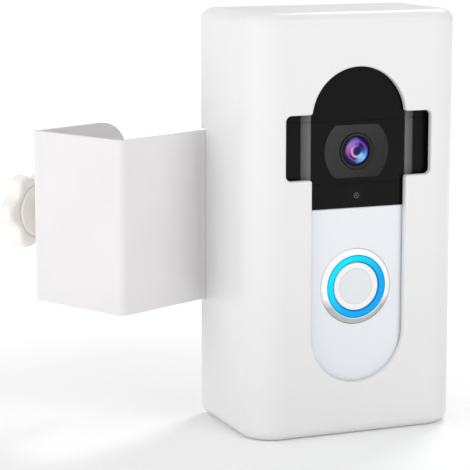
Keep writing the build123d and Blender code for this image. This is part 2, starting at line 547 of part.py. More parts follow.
with BuildPart() as rear_housing:
    with BuildSketch(facing(Y_BELL)):
        with Locations((0, BELL_ZC)):
            RectangleRounded(BELL_W, BELL_H, BELL_R)
    extrude(amount=Y_BELL - Y_SPLIT - SEAL_T)
    fillet(rear_housing.faces().sort_by(Axis.Y)[-1].edges(), BELL_BACK_R)
    with BuildSketch(facing(Y_BELL - WALL)):
        with Locations((0, BELL_ZC)):
            RectangleRounded(BELL_W - 2 * WALL, BELL_H - 2 * WALL, BELL_R - WALL)
        with Locations(*SHELL_BOLTS):
            Circle(BOSS_R, mode=Mode.SUBTRACT)
    extrude(amount=Y_BELL - WALL - Y_SPLIT - SEAL_T, mode=Mode.SUBTRACT)
    with BuildSketch(facing(Y_BELL)):
        with Locations(*SHELL_BOLTS):
            Circle(SHELL_CLEAR_R)
    extrude(amount=Y_BELL - Y_SPLIT, mode=Mode.SUBTRACT)
    with BuildSketch(facing(Y_BELL)):
        with Locations(*SHELL_BOLTS):
            Circle(SHELL_SINK_R)
    extrude(amount=SHELL_SINK, mode=Mode.SUBTRACT)
    with BuildSketch(facing(Y_BELL)):
        with Locations((0, PORT_Z)):
            Rectangle(PORT_W + PORT_GAP, PORT_H + PORT_GAP)
    extrude(amount=WALL, mode=Mode.SUBTRACT)
    with BuildSketch(facing(Y_BELL)):
        for z in BOLT_Z:
            with Locations((-BOLT_X, z), (BOLT_X, z)):
                Circle(BOLT_SINK_R)
    extrude(amount=BOLT_HEAD_T + 0.2, mode=Mode.SUBTRACT)
save(rear_housing, "rear_housing")

with BuildPart() as housing_screws:
    with BuildSketch(facing(Y_BELL - SHELL_SINK)):
        with Locations(*SHELL_BOLTS):
            Circle(SHELL_R)
    extrude(amount=SHELL_L)
    with BuildSketch(facing(Y_BELL - SHELL_SINK + SHELL_HEAD_T + CROSS_T)):
        with Locations(*SHELL_BOLTS):
            Circle(SHELL_HEAD_R)
            Rectangle(CROSS_L, CROSS_W, mode=Mode.SUBTRACT)
            Rectangle(CROSS_W, CROSS_L, mode=Mode.SUBTRACT)
    extrude(amount=CROSS_T)
    with BuildSketch(facing(Y_BELL - SHELL_SINK + SHELL_HEAD_T)):
        with Locations(*SHELL_BOLTS):
            Circle(SHELL_HEAD_R)
    extrude(amount=SHELL_HEAD_T)
save(housing_screws, "housing_screws")

with BuildPart() as wall_bracket:
    with BuildSketch(facing(Y_WALLPLATE)):
        with Locations((0, BELL_ZC)):
            RectangleRounded(WALLPLATE_W, WALLPLATE_H, WALLPLATE_R)
            RectangleRounded(*WALLPLATE_HOLE, mode=Mode.SUBTRACT)
        with Locations(*[(0, z) for z in CABLE_ZS]):
            RectangleRounded(*CABLE_SLOT, mode=Mode.SUBTRACT)
        for z in BOLT_Z:
            with Locations((-BOLT_X, z), (BOLT_X, z)):
                Circle(BOLT_CLEAR_R, mode=Mode.SUBTRACT)
    extrude(amount=WALLPLATE_T)
    with BuildSketch(facing(Y_WALLPLATE)):
        with Locations((0, BELL_Z0 - TONGUE_DROP)):
            Rectangle(TONGUE_W, TONGUE_T)
    extrude(amount=TONGUE_L)
    with BuildSketch(facing(Y_WALLPLATE)):
        with Locations((0, BELL_Z0 + WEB_LIFT)):
            Rectangle(TONGUE_W, WEB_H)
    extrude(amount=WEB_T)
    with BuildSketch(Plane.XY.offset(BELL_Z0 - TONGUE_HOLE_L)):
        with Locations((0, LATCH_Y)):
            Circle(TONGUE_HOLE_R)
    extrude(amount=TONGUE_HOLE_L, mode=Mode.SUBTRACT)
save(wall_bracket, "wall_bracket")

with BuildPart() as wall_bracket_screws:
    for z in BOLT_Z:
        with BuildSketch(facing(Y_WALLPLATE + BOLT_L - WALLPLATE_T)):
            with Locations((-BOLT_X, z), (BOLT_X, z)):
                Circle(BOLT_R)
        extrude(amount=BOLT_L)
        with BuildSketch(facing(Y_BELL)):
            with Locations((-BOLT_X, z), (BOLT_X, z)):
                Circle(BOLT_HEAD_R)
        extrude(amount=BOLT_HEAD_T)
save(wall_bracket_screws, "wall_bracket_screws")

with BuildPart() as security_screw:
    with BuildSketch(Plane.XY.offset(BELL_Z0 - SECURE_DROP - SECURE_HEAD_T)):
        with Locations((0, LATCH_Y)):
            Circle(SECURE_HEAD_R)
            RegularPolygon(SECURE_HEX_R, 6, mode=Mode.SUBTRACT)
    extrude(amount=SECURE_HEAD_T)
    with BuildSketch(Plane.XY.offset(BELL_Z0 - SECURE_DROP)):
        with Locations((0, LATCH_Y)):
            Circle(SECURE_R)
    extrude(amount=SECURE_L)
save(security_screw, "security_screw")

# ---------------------------------------------------------------- camera
with BuildPart() as camera_window:
    with BuildSketch(facing(Y_FACE + WINDOW_T)):
        with Locations((0, CAM_Z)):
            Circle(WINDOW_R - WINDOW_GAP)
            Rectangle(2 * WINDOW_R, WINDOW_H - 2 * WINDOW_GAP, mode=Mode.INTERSECT)
            Circle(TRIM_R, mode=Mode.SUBTRACT)
    extrude(amount=WINDOW_T - WINDOW_GAP)
save(camera_window, "camera_window")

with BuildPart() as lens_trim_ring:
    with BuildSketch(facing(Y_SKIN)):
        with Locations((0, CAM_Z)):
            Circle(TRIM_R)
            Circle(GLASS_R + GLASS_LIP, mode=Mode.SUBTRACT)
    extrude(amount=TRIM_T)
    fillet(lens_trim_ring.faces().sort_by(Axis.Y)[0].edges(), TRIM_SOFT)
save(lens_trim_ring, "lens_trim_ring")

with BuildPart() as lens_barrel:
    with BuildSketch(facing(SENSOR_Y)):
        with Locations((0, CAM_Z)):
            Circle(TRIM_R - 0.1)
            Circle(BARREL_IN, mode=Mode.SUBTRACT)
    extrude(amount=SENSOR_Y - Y_SKIN)
    with BuildSketch(facing(Y_SKIN)):
        with Locations((0, CAM_Z)):
            Circle(GLASS_R + GLASS_LIP)
            Circle(BARREL_IN, mode=Mode.SUBTRACT)
    extrude(amount=BARREL_LIP)
save(lens_barrel, "lens_barrel")

with BuildPart() as lens_glass:
    with BuildSketch(facing(Y_SKIN - BARREL_LIP)):
        with Locations((0, CAM_Z)):
            Circle(GLASS_R + GLASS_LIP - 0.05)
    extrude(amount=GLASS_T)
    fillet(lens_glass.faces().sort_by(Axis.Y)[0].edges(), GLASS_SOFT)
save(lens_glass, "lens_glass")

with BuildPart() as inner_lens:
    with BuildSketch(facing(INNER_LENS_Y)):
        with Locations((0, CAM_Z)):
            Circle(BARREL_IN - 0.05)
    extrude(amount=INNER_LENS_T)
    fillet(inner_lens.faces().sort_by(Axis.Y)[0].edges(), INNER_LENS_SOFT)
save(inner_lens, "inner_lens")

with BuildPart() as image_sensor:
    with BuildSketch(facing(SENSOR_Y)):
        with Locations((0, CAM_Z)):
            Rectangle(SENSOR_W, SENSOR_W)
    extrude(amount=SENSOR_T)
save(image_sensor, "image_sensor")

with BuildPart() as camera_board:
    with BuildSketch(facing(CAM_BOARD_Y)):
        with Locations((0, CAM_Z)):
            RectangleRounded(CAM_BOARD_W, CAM_BOARD_H, CAM_BOARD_R)
    extrude(amount=CAM_BOARD_T)
save(camera_board, "camera_board")

with BuildPart() as ir_leds:
    with BuildSketch(facing(Y_INNER)):
        with Locations((-LED_X, CAM_Z), (LED_X, CAM_Z)):
            Circle(LED_R)
    extrude(amount=LED_L)
    with BuildSketch(facing(Y_INNER + LED_FLANGE_T)):
        with Locations((-LED_X, CAM_Z), (LED_X, CAM_Z)):
            Circle(LED_FLANGE_R)
    extrude(amount=LED_FLANGE_T)
save(ir_leds, "ir_leds")

with BuildPart() as sensor_window:
    with BuildSketch(facing(Y_FACE + EYE_T)):
        with Locations((0, EYE_Z)):
            RectangleRounded(EYE_W - 0.1, EYE_H - 0.1, EYE_CORNER - 0.05)
            Circle(EYE_R, mode=Mode.SUBTRACT)
    extrude(amount=EYE_T - 0.05)
save(sensor_window, "sensor_window")

with BuildPart() as light_sensor:
    with BuildSketch(facing(Y_FACE + EYE_T)):
        with Locations((0, EYE_Z)):
            Circle(EYE_R - 0.05)
    extrude(amount=EYE_T + EYE_RISE)
    with BuildSketch(facing(Y_INNER)):
        with Locations((0, EYE_Z)):
            Circle(STALK_R)
    extrude(amount=Y_INNER - Y_FACE - EYE_T)
save(light_sensor, "light_sensor")

# ---------------------------------------------------------------- push button and light ring
with BuildPart() as button_bezel:
    inner_z, outer_z = BTN_Z + RING_R + BEZEL_GAP, BTN_Z + BEZEL_R - BEZEL_GAP
    with BuildSketch(Plane.YZ):
        with BuildLine():
            back = Line((Y_SKIN, inner_z), (Y_SKIN, outer_z))
            rim = Line(back @ 1, (Y_FACE, outer_z))
            middle = (Y_FACE - BEZEL_MID_RISE, BTN_Z + BEZEL_MID_R)
            crown = ThreePointArc(rim @ 1, middle, (Y_FACE - BEZEL_RISE, inner_z))
            Line(crown @ 1, back @ 0)
        make_face()
    revolve(axis=Axis((0, 0, BTN_Z), (0, 1, 0)))
save(button_bezel, "button_bezel")

with BuildPart() as light_ring:
    with BuildSketch(facing(Y_INNER)):
        with Locations((0, BTN_Z)):
            Circle(RING_R)
            Circle(RING_IN, mode=Mode.SUBTRACT)
    extrude(amount=Y_INNER - Y_FACE + RING_RISE)
    fillet(light_ring.faces().sort_by(Axis.Y)[0].edges(), RING_SOFT)
    with BuildSketch(facing(Y_INNER)):
        with Locations((0, BTN_Z)):
            Circle(LIGHT_SLOT_R1)
            Circle(LIGHT_SLOT_R0, mode=Mode.SUBTRACT)
    extrude(amount=LIGHT_SLOT_L, mode=Mode.SUBTRACT)
save(light_ring, "light_ring")

with BuildPart() as ring_board:
    with BuildSketch(facing(Y_INNER + RING_BOARD_T)):
        with Locations((0, BTN_Z)):
            Circle(RING_BOARD_R)
            Circle(RING_BOARD_IN, mode=Mode.SUBTRACT)
    extrude(amount=RING_BOARD_T)
save(ring_board, "ring_board")

with BuildPart() as ring_leds:
    with BuildSketch(facing(Y_INNER)):
        with Locations((0, BTN_Z)):
            with PolarLocations(LED_PITCH_R, LED_COUNT):
                Rectangle(LED_W, LED_H)
    extrude(amount=LED_T)
save(ring_leds, "ring_leds")

with BuildPart() as button_cap:
    with BuildSketch(facing(Y_INNER + CAP_BACK)):
        with Locations((0, BTN_Z)):
            Circle(CAP_R)
    extrude(amount=Y_INNER + CAP_BACK - Y_FACE + CAP_RISE)
    fillet(button_cap.faces().sort_by(Axis.Y)[0].edges(), CAP_SOFT)
    with BuildSketch(facing(Y_FACE - CAP_RISE + DISH_DEPTH)):
        with Locations((0, BTN_Z)):
            Circle(DISH_R)
    extrude(amount=1.0, mode=Mode.SUBTRACT)
    with BuildSketch(facing(Y_INNER + CAP_BACK + FLANGE_T)):
        with Locations((0, BTN_Z)):
            Circle(FLANGE_R)
    extrude(amount=FLANGE_T)
    with BuildSketch(facing(Y_INNER + CAP_BACK + FLANGE_T + STEM_L)):
        with Locations((0, BTN_Z)):
            Circle(STEM_R)
    extrude(amount=STEM_L)
save(button_cap, "button_cap")

with BuildPart() as tact_switch:
    with BuildSketch(facing(CHIP_Y)):
        with Locations((0, BTN_Z)):
            RectangleRounded(SWITCH_W, SWITCH_W, SWITCH_CORNER)
    extrude(amount=SWITCH_T)
    with BuildSketch(facing(CHIP_Y - SWITCH_T)):
        with Locations((0, BTN_Z)):
            Circle(PLUNGER_R)
    extrude(amount=PLUNGER_L)
save(tact_switch, "tact_switch")

# ---------------------------------------------------------------- electronics and battery
with BuildPart() as main_board:
    with BuildSketch(facing(BOARD_Y)):
        with Locations((0, BOARD_Z)):
            RectangleRounded(BOARD_W, BOARD_H, BOARD_R)
    extrude(amount=BOARD_T)
save(main_board, "main_board")

with BuildPart() as processor_shield:
    with BuildSketch(facing(CHIP_Y)):
        with Locations(SHIELD_AT):
            RectangleRounded(SHIELD_W, SHIELD_H, SHIELD_R)
    extrude(amount=SHIELD_T)
save(processor_shield, "processor_shield")

with BuildPart() as microphone:
    with BuildSketch(facing(CHIP_Y)):
        with Locations(MIC_AT):
            Rectangle(MIC_W, MIC_H)
    extrude(amount=MIC_T)
save(microphone, "microphone")

with BuildPart() as pir_sensors:
    with BuildSketch(facing(CHIP_Y)):
        with Locations(*[(x, PIR_Z) for x in PIR_XS]):
            Circle(PIR_R)
    extrude(amount=PIR_T)
    fillet(pir_sensors.faces().group_by(Axis.Y)[0].edges(), PIR_SOFT)
save(pir_sensors, "pir_sensors")

with BuildPart() as antenna:
    with BuildSketch(facing(CHIP_Y)):
        with Locations(ANTENNA_AT):
            Rectangle(ANTENNA_W, ANTENNA_H)
            with Locations((-MEANDER_X, -MEANDER_STEP), (-MEANDER_X, 0), (-MEANDER_X, MEANDER_STEP)):
                Rectangle(MEANDER_W, MEANDER_H, mode=Mode.SUBTRACT)
            with Locations((MEANDER_X, -MEANDER_STEP / 2), (MEANDER_X, MEANDER_STEP / 2)):
                Rectangle(MEANDER_W, MEANDER_H, mode=Mode.SUBTRACT)
    extrude(amount=ANTENNA_T)
save(antenna, "antenna")

with BuildPart() as speaker:
    with BuildSketch(facing(SPEAKER_Y)):
        with Locations((0, SPEAKER_Z)):
            Circle(SPEAKER_R)
    extrude(amount=SPEAKER_T)
    with BuildSketch(facing(MAGNET_Y)):
        with Locations((0, SPEAKER_Z)):
            Circle(MAGNET_R)
    extrude(amount=MAGNET_T)
    fillet(speaker.faces().sort_by(Axis.Y)[0].edges(), SPEAKER_SOFT)
save(speaker, "speaker")

with BuildPart() as battery_pack:
    with BuildSketch(facing(CELL_Y)):
        with Locations((0, CELL_Z)):
            RectangleRounded(CELL_W, CELL_H, CELL_R)
    extrude(amount=CELL_T)
    fillet(battery_pack.faces().sort_by(Axis.Y)[0].edges(), CELL_SOFT)
    fillet(battery_pack.faces().sort_by(Axis.Y)[-1].edges(), CELL_SOFT)
save(battery_pack, "battery_pack")

with BuildPart() as battery_foam:
    with BuildSketch(facing(CELL_Y + FOAM_T)):
        with Locations(*[(0, z) for z in FOAM_ZS]):
            RectangleRounded(FOAM_W, FOAM_H, FOAM_R)
    extrude(amount=FOAM_T)
save(battery_foam, "battery_foam")

with BuildPart() as charge_port:
    with BuildSketch(facing(Y_BELL - PORT_SINK)):
        with Locations((0, PORT_Z)):
            RectangleRounded(PORT_W, PORT_H, PORT_R)
    extrude(amount=PORT_L)
    with BuildSketch(facing(Y_BELL - PORT_SINK)):
        with Locations((0, PORT_Z)):
            RectangleRounded(PORT_IN_W, PORT_IN_H, PORT_IN_R)
    extrude(amount=PORT_IN_L, mode=Mode.SUBTRACT)
save(charge_port, "charge_port")

with BuildPart() as port_plug:
    with BuildSketch(facing(Y_BELL + PLUG_T)):
        with Locations((0, PLUG_Z)):
            RectangleRounded(PLUG_W, PLUG_H, PLUG_R)
    extrude(amount=PLUG_T)
    with BuildSketch(facing(Y_BELL)):
        with Locations((0, PORT_Z)):
            RectangleRounded(PLUG_IN_W, PLUG_IN_H, PLUG_IN_R)
    extrude(amount=PLUG_IN_L)
save(port_plug, "port_plug")

with BuildPart() as wire_terminals:
    with BuildSketch(facing(Y_BELL + 2 * WIRE_T)):
        with Locations((-WIRE_X, WIRE_Z), (WIRE_X, WIRE_Z)):
            Circle(WIRE_R)
            Rectangle(WIRE_SLOT_L, WIRE_SLOT_W, mode=Mode.SUBTRACT)
    extrude(amount=WIRE_T)
    with BuildSketch(facing(Y_BELL + WIRE_T)):
        with Locations((-WIRE_X, WIRE_Z), (WIRE_X, WIRE_Z)):
            Circle(WIRE_R)
    extrude(amount=WIRE_T)
save(wire_terminals, "wire_terminals")
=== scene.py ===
import json
import math

import bmesh
import bpy
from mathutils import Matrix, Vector


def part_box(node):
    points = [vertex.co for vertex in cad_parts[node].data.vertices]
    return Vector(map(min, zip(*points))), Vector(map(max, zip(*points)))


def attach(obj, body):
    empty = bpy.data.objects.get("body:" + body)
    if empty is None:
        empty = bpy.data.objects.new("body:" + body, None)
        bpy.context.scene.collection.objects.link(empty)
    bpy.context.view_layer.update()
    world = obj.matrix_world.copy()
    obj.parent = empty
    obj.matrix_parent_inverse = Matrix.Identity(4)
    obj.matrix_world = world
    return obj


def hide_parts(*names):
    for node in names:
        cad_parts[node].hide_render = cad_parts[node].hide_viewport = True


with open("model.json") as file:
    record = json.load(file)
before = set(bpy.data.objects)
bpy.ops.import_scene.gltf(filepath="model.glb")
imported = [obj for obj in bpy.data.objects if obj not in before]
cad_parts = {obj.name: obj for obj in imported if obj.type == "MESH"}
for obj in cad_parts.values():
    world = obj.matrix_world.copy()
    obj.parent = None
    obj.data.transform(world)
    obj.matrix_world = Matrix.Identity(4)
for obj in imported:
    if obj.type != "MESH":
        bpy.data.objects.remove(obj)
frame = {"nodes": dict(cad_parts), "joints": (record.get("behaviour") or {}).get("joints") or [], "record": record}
nodes = frame["nodes"]
joints = {joint["name"]: joint for joint in frame["joints"]}
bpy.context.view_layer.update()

MM = 0.001
FULL_TURN = 2 * math.pi
SAME_POINT = 1e-7

# ---------------------------------------------------------------- places read from the frame
face_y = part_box("front_housing")[0].y
ring_low, ring_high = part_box("light_ring")
ring_centre = (ring_low + ring_high) / 2
ring_radius = (ring_high.x - ring_low.x) / 2
lens_low, lens_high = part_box("lens_glass")
lens_centre = (lens_low + lens_high) / 2
lens_radius = (lens_high.x - lens_low.x) / 2
eye_low, eye_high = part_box("light_sensor")
eye_centre = (eye_low + eye_high) / 2


# ---------------------------------------------------------------- material helpers
class Nodes:
    """A new material's node tree, with short calls for the nodes used here."""

    def __init__(self, name):
        self.material = bpy.data.materials.new(name)
        self.material.use_nodes = True
        self.tree = self.material.node_tree
        self.shader = self.tree.nodes["Principled BSDF"]
        self.place = self.add("ShaderNodeTexCoord").outputs["Object"]

    def add(self, kind, inputs=None, **settings):
        node = self.tree.nodes.new(kind)
        for key, value in settings.items():
            setattr(node, key, value)
        for key, value in (inputs or {}).items():
            self.feed(node.inputs[key], value)
        return node

    def feed(self, socket, value):
        if isinstance(value, bpy.types.NodeSocket):
            self.tree.links.new(value, socket)
        else:
            socket.default_value = value

    def noise(self, size_mm, detail=4.0, rough=0.55, place=None):
        """Noise with features about size_mm across, from 0 to 1."""
        inputs = {"Vector": place or self.place, "Scale": 1.0 / (size_mm * MM)}
        inputs |= {"Detail": detail, "Roughness": rough}
        return self.add("ShaderNodeTexNoise", inputs).outputs["Fac"]

    def math(self, operation, *values):
        node = self.add("ShaderNodeMath", operation=operation)
        for socket, value in zip(node.inputs, values):
            self.feed(socket, value)
        return node.outputs[0]

    def product(self, one, two):
        return self.math("MULTIPLY", one, two)

    def ramp(self, factor, *stops):
        """A colour ramp with stops of (position, colour)."""
        node = self.add("ShaderNodeValToRGB", {"Fac": factor})
        band = node.color_ramp
        while len(band.elements) < len(stops):
            band.elements.new(1.0)
        for element, (position, colour) in zip(band.elements, stops):
            element.position = position
            element.color = (*colour, 1.0)
        return node.outputs["Color"]

    def remap(self, value, low, high):
        """value from 0..1 to low..high."""
        inputs = {"Value": value, "To Min": low, "To Max": high}
        return self.add("ShaderNodeMapRange", inputs).outputs["Result"]

    def span(self, value, start, end):
        """0 at start and 1 at end, clamped."""
        inputs = {"Value": value, "From Min": start, "From Max": end}
        return self.add("ShaderNodeMapRange", inputs).outputs["Result"]

    def mix(self, factor, one, two, blend="MIX"):
        """Colour one where factor is 0 and two where it is 1."""
        node = self.add("ShaderNodeMix", data_type="RGBA", blend_type=blend)
        self.feed(node.inputs[0], factor)
        self.feed(node.inputs[6], one)
        self.feed(node.inputs[7], two)
        return node.outputs[2]

    def bump(self, height, depth_mm, under=None):
        """Relief depth_mm deep, laid over another relief."""
        inputs = {"Height": height, "Distance": depth_mm * MM, "Strength": 1.0}
        if under is not None:
            inputs["Normal"] = under
        return self.add("ShaderNodeBump", inputs).outputs["Normal"]

    def axes(self):
        """The place's X, Y and Z, in metres."""
        split = self.add("ShaderNodeSeparateXYZ", {"Vector": self.place})
        return split.outputs["X"], split.outputs["Y"], split.outputs["Z"]

    def length(self, one, two):
        return self.math("SQRT", self.math("ADD", self.product(one, one), self.product(two, two)))

    def offset(self, centre):
        """How far right of centre, and how far above it."""
        x, _, z = self.axes()
        return self.math("SUBTRACT", x, centre.x), self.math("SUBTRACT", z, centre.z)

    def radius(self, centre):
        """Distance from an axis along Y through centre."""
        return self.length(*self.offset(centre))

    def set(self, **sockets):
        """Feeds the shader's sockets, given with underscores for spaces."""
        for key, value in sockets.items():
            self.feed(self.shader.inputs[key.replace("_", " ")], value)
        return self.material


def rgb(colour, gain=1.0):
    """A colour for a socket, made lighter or darker by gain."""
    return (colour[0] * gain, colour[1] * gain, colour[2] * gain, 1.0)


def moulded(name, colour, rough, grain_depth=0.002, tint=0.012, gloss=0.5):
    """Moulded plastic: slow colour drift, a trace of sink and flow, and fine grain."""
    n = Nodes(name)
    drift = n.noise(34.0, detail=1.0)
    flow = n.bump(n.noise(2.2, detail=2.0), 0.006)
    grain = n.bump(n.noise(0.25, detail=2.0), grain_depth, under=flow)
    base = n.mix(n.span(drift, 0.2, 0.8), rgb(colour, 1.0 - tint), rgb(colour, 1.0 + tint * 0.6))
    smudge = n.remap(n.noise(12.0, detail=2.0), rough * 0.9, rough * 1.12)
    return n.set(Base_Color=base, Roughness=smudge, Normal=grain, Specular_IOR_Level=gloss)


STRIP_SHIFT, STRIP_INNER, STRIP_OUTER, STRIP_SOFT = 0.7 * MM, 19.3 * MM, 23.3 * MM, 0.4 * MM


def doorbell_black(name, colour, strip_reflection_colour, rough):
    """The doorbell's gloss black front. The bevelled strips beside the face are painted a grey reflection, fading
    outward.
    """
    n = Nodes(name)
    x, _, _ = n.axes()
    side = n.math("ABSOLUTE", n.math("SUBTRACT", x, STRIP_SHIFT))
    inner = n.span(side, STRIP_INNER, STRIP_INNER + STRIP_SOFT)
    outer = n.span(side, STRIP_OUTER, STRIP_OUTER - STRIP_SOFT)
    # painted reflection: the strips beside the face get a grey standing in for their reflection, full at their
    # inner side and half at their outer side
    fade = n.remap(n.span(side, STRIP_INNER + STRIP_SOFT / 2, STRIP_OUTER - STRIP_SOFT / 4), 1.0, 0.5)
    base = n.mix(n.span(n.noise(30.0, detail=2.0), 0.3, 0.7), rgb(colour, 0.85), rgb(colour, 1.15))
    base = n.mix(n.product(n.product(inner, outer), fade), base, rgb(strip_reflection_colour))
    relief = n.bump(n.noise(0.3, detail=2.0), 0.0015, under=n.bump(n.noise(4.0, detail=2.0), 0.004))
    return n.set(Base_Color=base, Roughness=n.remap(n.noise(8.0, detail=3.0), rough * 0.85, rough * 1.2),
                 Normal=relief, Specular_IOR_Level=0.10)


def powder_coat(name, colour, rough):
    """Powder-coated steel: fine grit over orange peel, small specks and a thin gloss coat."""
    n = Nodes(name)
    peel = n.bump(n.noise(0.9, detail=2.0), 0.02)
    grit = n.bump(n.noise(0.18, detail=3.0), 0.006, under=peel)
    specks = n.span(n.noise(0.35, detail=1.0), 0.68, 0.74)
    base = n.mix(n.span(n.noise(24.0), 0.3, 0.7), rgb(colour, 0.975), rgb(colour, 1.01))
    base = n.mix(n.product(specks, 0.10), base, rgb(colour, 0.72))
    return n.set(Base_Color=base, Roughness=n.remap(n.noise(1.6), rough * 0.85, rough * 1.2), Normal=grit,
                 Coat_Weight=0.35, Coat_Roughness=0.14)


def plated(name, colour, rough):
    """Zinc-plated or bare metal with drawn streaks and cloudy passivation."""
    n = Nodes(name)
    stretch = n.add("ShaderNodeMapping", {"Vector": n.place, "Scale": (1.0, 1.0, 14.0)}).outputs["Vector"]
    lines = n.noise(0.5, detail=5.0, rough=0.7, place=stretch)
    cloud = n.noise(2.4, detail=4.0)
    base = n.mix(n.span(cloud, 0.3, 0.7), rgb(colour, 0.86), rgb(colour, 1.08))
    base = n.mix(n.product(n.span(lines, 0.5, 0.8), 0.25), base, rgb(colour, 0.6))
    return n.set(Base_Color=base, Metallic=1.0, Roughness=n.remap(lines, rough * 0.75, rough * 1.35),
                 Normal=n.bump(lines, 0.008))


def rubber(name, colour):
    """Black rubber, paler where it is dusty, with pores and faint moulding lines."""
    n = Nodes(name)
    pores = n.noise(0.35, detail=4.0)
    ribs = n.add("ShaderNodeTexWave", {"Vector": n.place, "Scale": 160.0, "Distortion": 0.4},
                 bands_direction="Z")
    base = n.mix(n.span(n.noise(6.0, detail=5.0), 0.35, 0.7), rgb(colour, 0.8), rgb(colour, 1.6))
    relief = n.bump(ribs.outputs["Fac"], 0.12, under=n.bump(pores, 0.03))
    return n.set(Base_Color=base, Roughness=n.remap(pores, 0.7, 0.95), Normal=relief)


def foam(name, colour):
    """Open-cell foam, painted darker in each cell's hollow as shade."""
    n = Nodes(name)
    cells = n.add("ShaderNodeTexVoronoi", {"Vector": n.place, "Scale": 2200.0}).outputs["Distance"]
    # painted shade: darker in each cell's hollow, lighter on the cell walls
    base = n.mix(n.span(cells, 0.1, 0.6), rgb(colour, 0.5), rgb(colour, 1.3))
    return n.set(Base_Color=base, Roughness=0.95, Normal=n.bump(cells, 0.15))


def circuit_board(name, mask, bare):
    """Solder mask over copper tracks, with tinned pads."""
    n = Nodes(name)
    upright = n.add("ShaderNodeMapping", {"Vector": n.place, "Rotation": (1.5708, 0, 0)}).outputs["Vector"]
    layout = {"Vector": upright, "Scale": 260.0, "Mortar Size": 0.03, "Mortar Smooth": 0.2}
    tracks = n.add("ShaderNodeTexBrick", layout).outputs["Fac"]
    spots = n.add("ShaderNodeTexVoronoi", {"Vector": n.place, "Scale": 420.0}).outputs["Distance"]
    pads = n.span(spots, 0.16, 0.12)
    base = n.mix(tracks, rgb(mask), rgb(mask, 1.9))
    base = n.mix(pads, base, rgb(bare))
    return n.set(Base_Color=base, Metallic=n.product(pads, 0.9), Roughness=n.remap(pads, 0.35, 0.28),
                 Normal=n.bump(n.math("MAXIMUM", tracks, pads), 0.03))


def pearl_bezel(name, colour, shade):
    """White pearl plastic with painted shade along its lower arc and a painted cyan glow from the light ring at
    its inner edge.
    """
    n = Nodes(name)
    dx, dz = n.offset(ring_centre)
    # painted shade: the lower arc is painted grey where the raised cone faces down
    lower = n.math("ADD", dz, n.product(n.math("ABSOLUTE", dx), 0.12))
    grey = n.span(lower, -0.20 * ring_radius, -0.55 * ring_radius)
    base = n.mix(grey, rgb(colour), rgb(shade))
    base = n.mix(n.product(n.noise(1.5, detail=3.0), 0.06), base, rgb(shade, 1.2))
    # painted light: a pale cyan band at the inner edge stands in for the light ring's glow falling on it
    lit_edge = n.span(n.radius(ring_centre), ring_radius + 0.45 * MM, ring_radius + 0.25 * MM)
    base = n.mix(n.product(lit_edge, 0.8), base, (0.62, 0.90, 0.96, 1.0))
    return n.set(Base_Color=base, Roughness=n.remap(n.noise(3.0), 0.22, 0.32), Coat_Weight=0.3,
                 Coat_Roughness=0.08, Normal=n.bump(n.noise(0.25, detail=2.0), 0.002))


CREASE_SHADE_INNER, DISC_EDGE, BORDER_EDGE = 6.3 * MM, 6.7 * MM, 7.1 * MM


def button_face(name, disc, border):
    """The push button: a satin disc inside a rounded border painted whiter as a highlight, with painted shade in
    the crease between them.
    """
    n = Nodes(name)
    r = n.radius(ring_centre)
    # painted highlight: the rounded border is painted whiter than the disc
    edge = n.span(r, DISC_EDGE, BORDER_EDGE)
    base = n.mix(edge, rgb(disc), rgb(border))
    # painted shade: a darker ring in the crease where the dished disc meets its border
    seat = n.product(n.span(r, CREASE_SHADE_INNER, DISC_EDGE), n.span(r, BORDER_EDGE, DISC_EDGE + 0.05 * MM))
    base = n.mix(n.product(seat, 0.35), base, rgb(disc, 0.72))
    base = n.mix(n.product(n.noise(2.0, detail=3.0), 0.05), base, rgb(disc, 0.8))
    return n.set(Base_Color=base, Roughness=n.remap(n.noise(1.5), 0.36, 0.44), Specular_IOR_Level=0.4,
                 Normal=n.bump(n.noise(0.25, detail=2.0), 0.003))


RING_WIDTH = 0.225 * ring_radius
RING_EDGE_COLOUR = (0.0, 0.14, 0.30, 1.0)
RING_HUES = ((0.0, (0.0, 0.62, 0.76)), (0.35, (0.0, 0.50, 0.86)),
             (0.65, (0.0, 0.34, 0.86)), (1.0, (0.0, 0.30, 0.86)))


def glow_ring(name):
    """The button's light ring: cyan at the upper left turning to blue at the lower right, edges darker."""
    n = Nodes(name)
    dx, dz = n.offset(ring_centre)
    across = n.math("SUBTRACT", dx, dz)
    turn = n.span(across, -1.15 * ring_radius, 1.15 * ring_radius)
    hue = n.ramp(turn, *RING_HUES)
    r = n.radius(ring_centre)
    inner = n.span(r, ring_radius - RING_WIDTH * 0.97, ring_radius - RING_WIDTH * 0.80)
    outer = n.span(r, ring_radius - RING_WIDTH * 0.03, ring_radius - RING_WIDTH * 0.20)
    lit = n.mix(n.product(inner, outer), RING_EDGE_COLOUR, hue)
    cloud = n.remap(n.noise(1.2, detail=3.0), 0.95, 1.05)
    grey = n.add("ShaderNodeCombineXYZ", {0: cloud, 1: cloud, 2: cloud}).outputs["Vector"]
    base = n.mix(1.0, lit, grey, "MULTIPLY")
    return n.set(Base_Color=base, Emission_Color=base, Emission_Strength=0.30, Roughness=0.45,
                 Specular_IOR_Level=0.12, Normal=n.bump(n.noise(0.4), 0.004))


# painted reflection colours of the lens's coating by the angle round it, in degrees anticlockwise from the right
LENS_REFLECTION_HUES = ((-180, (0.42, 0.10, 0.40)), (-155, (0.12, 0.003, 0.14)), (-128, (0.006, 0.002, 0.12)),
             (-102, (0.008, 0.03, 0.16)), (-72, (0.16, 0.70, 1.10)), (-42, (0.28, 0.95, 1.40)),
             (-12, (0.02, 0.26, 0.90)), (14, (0.05, 0.03, 0.34)), (35, (0.10, 0.003, 0.18)),
             (62, (0.02, 0.006, 0.12)), (86, (0.20, 0.15, 0.78)), (118, (0.38, 0.22, 0.78)),
             (150, (0.56, 0.24, 0.62)), (180, (0.42, 0.10, 0.40)))
LENS_REFLECTION_GAIN = 0.44


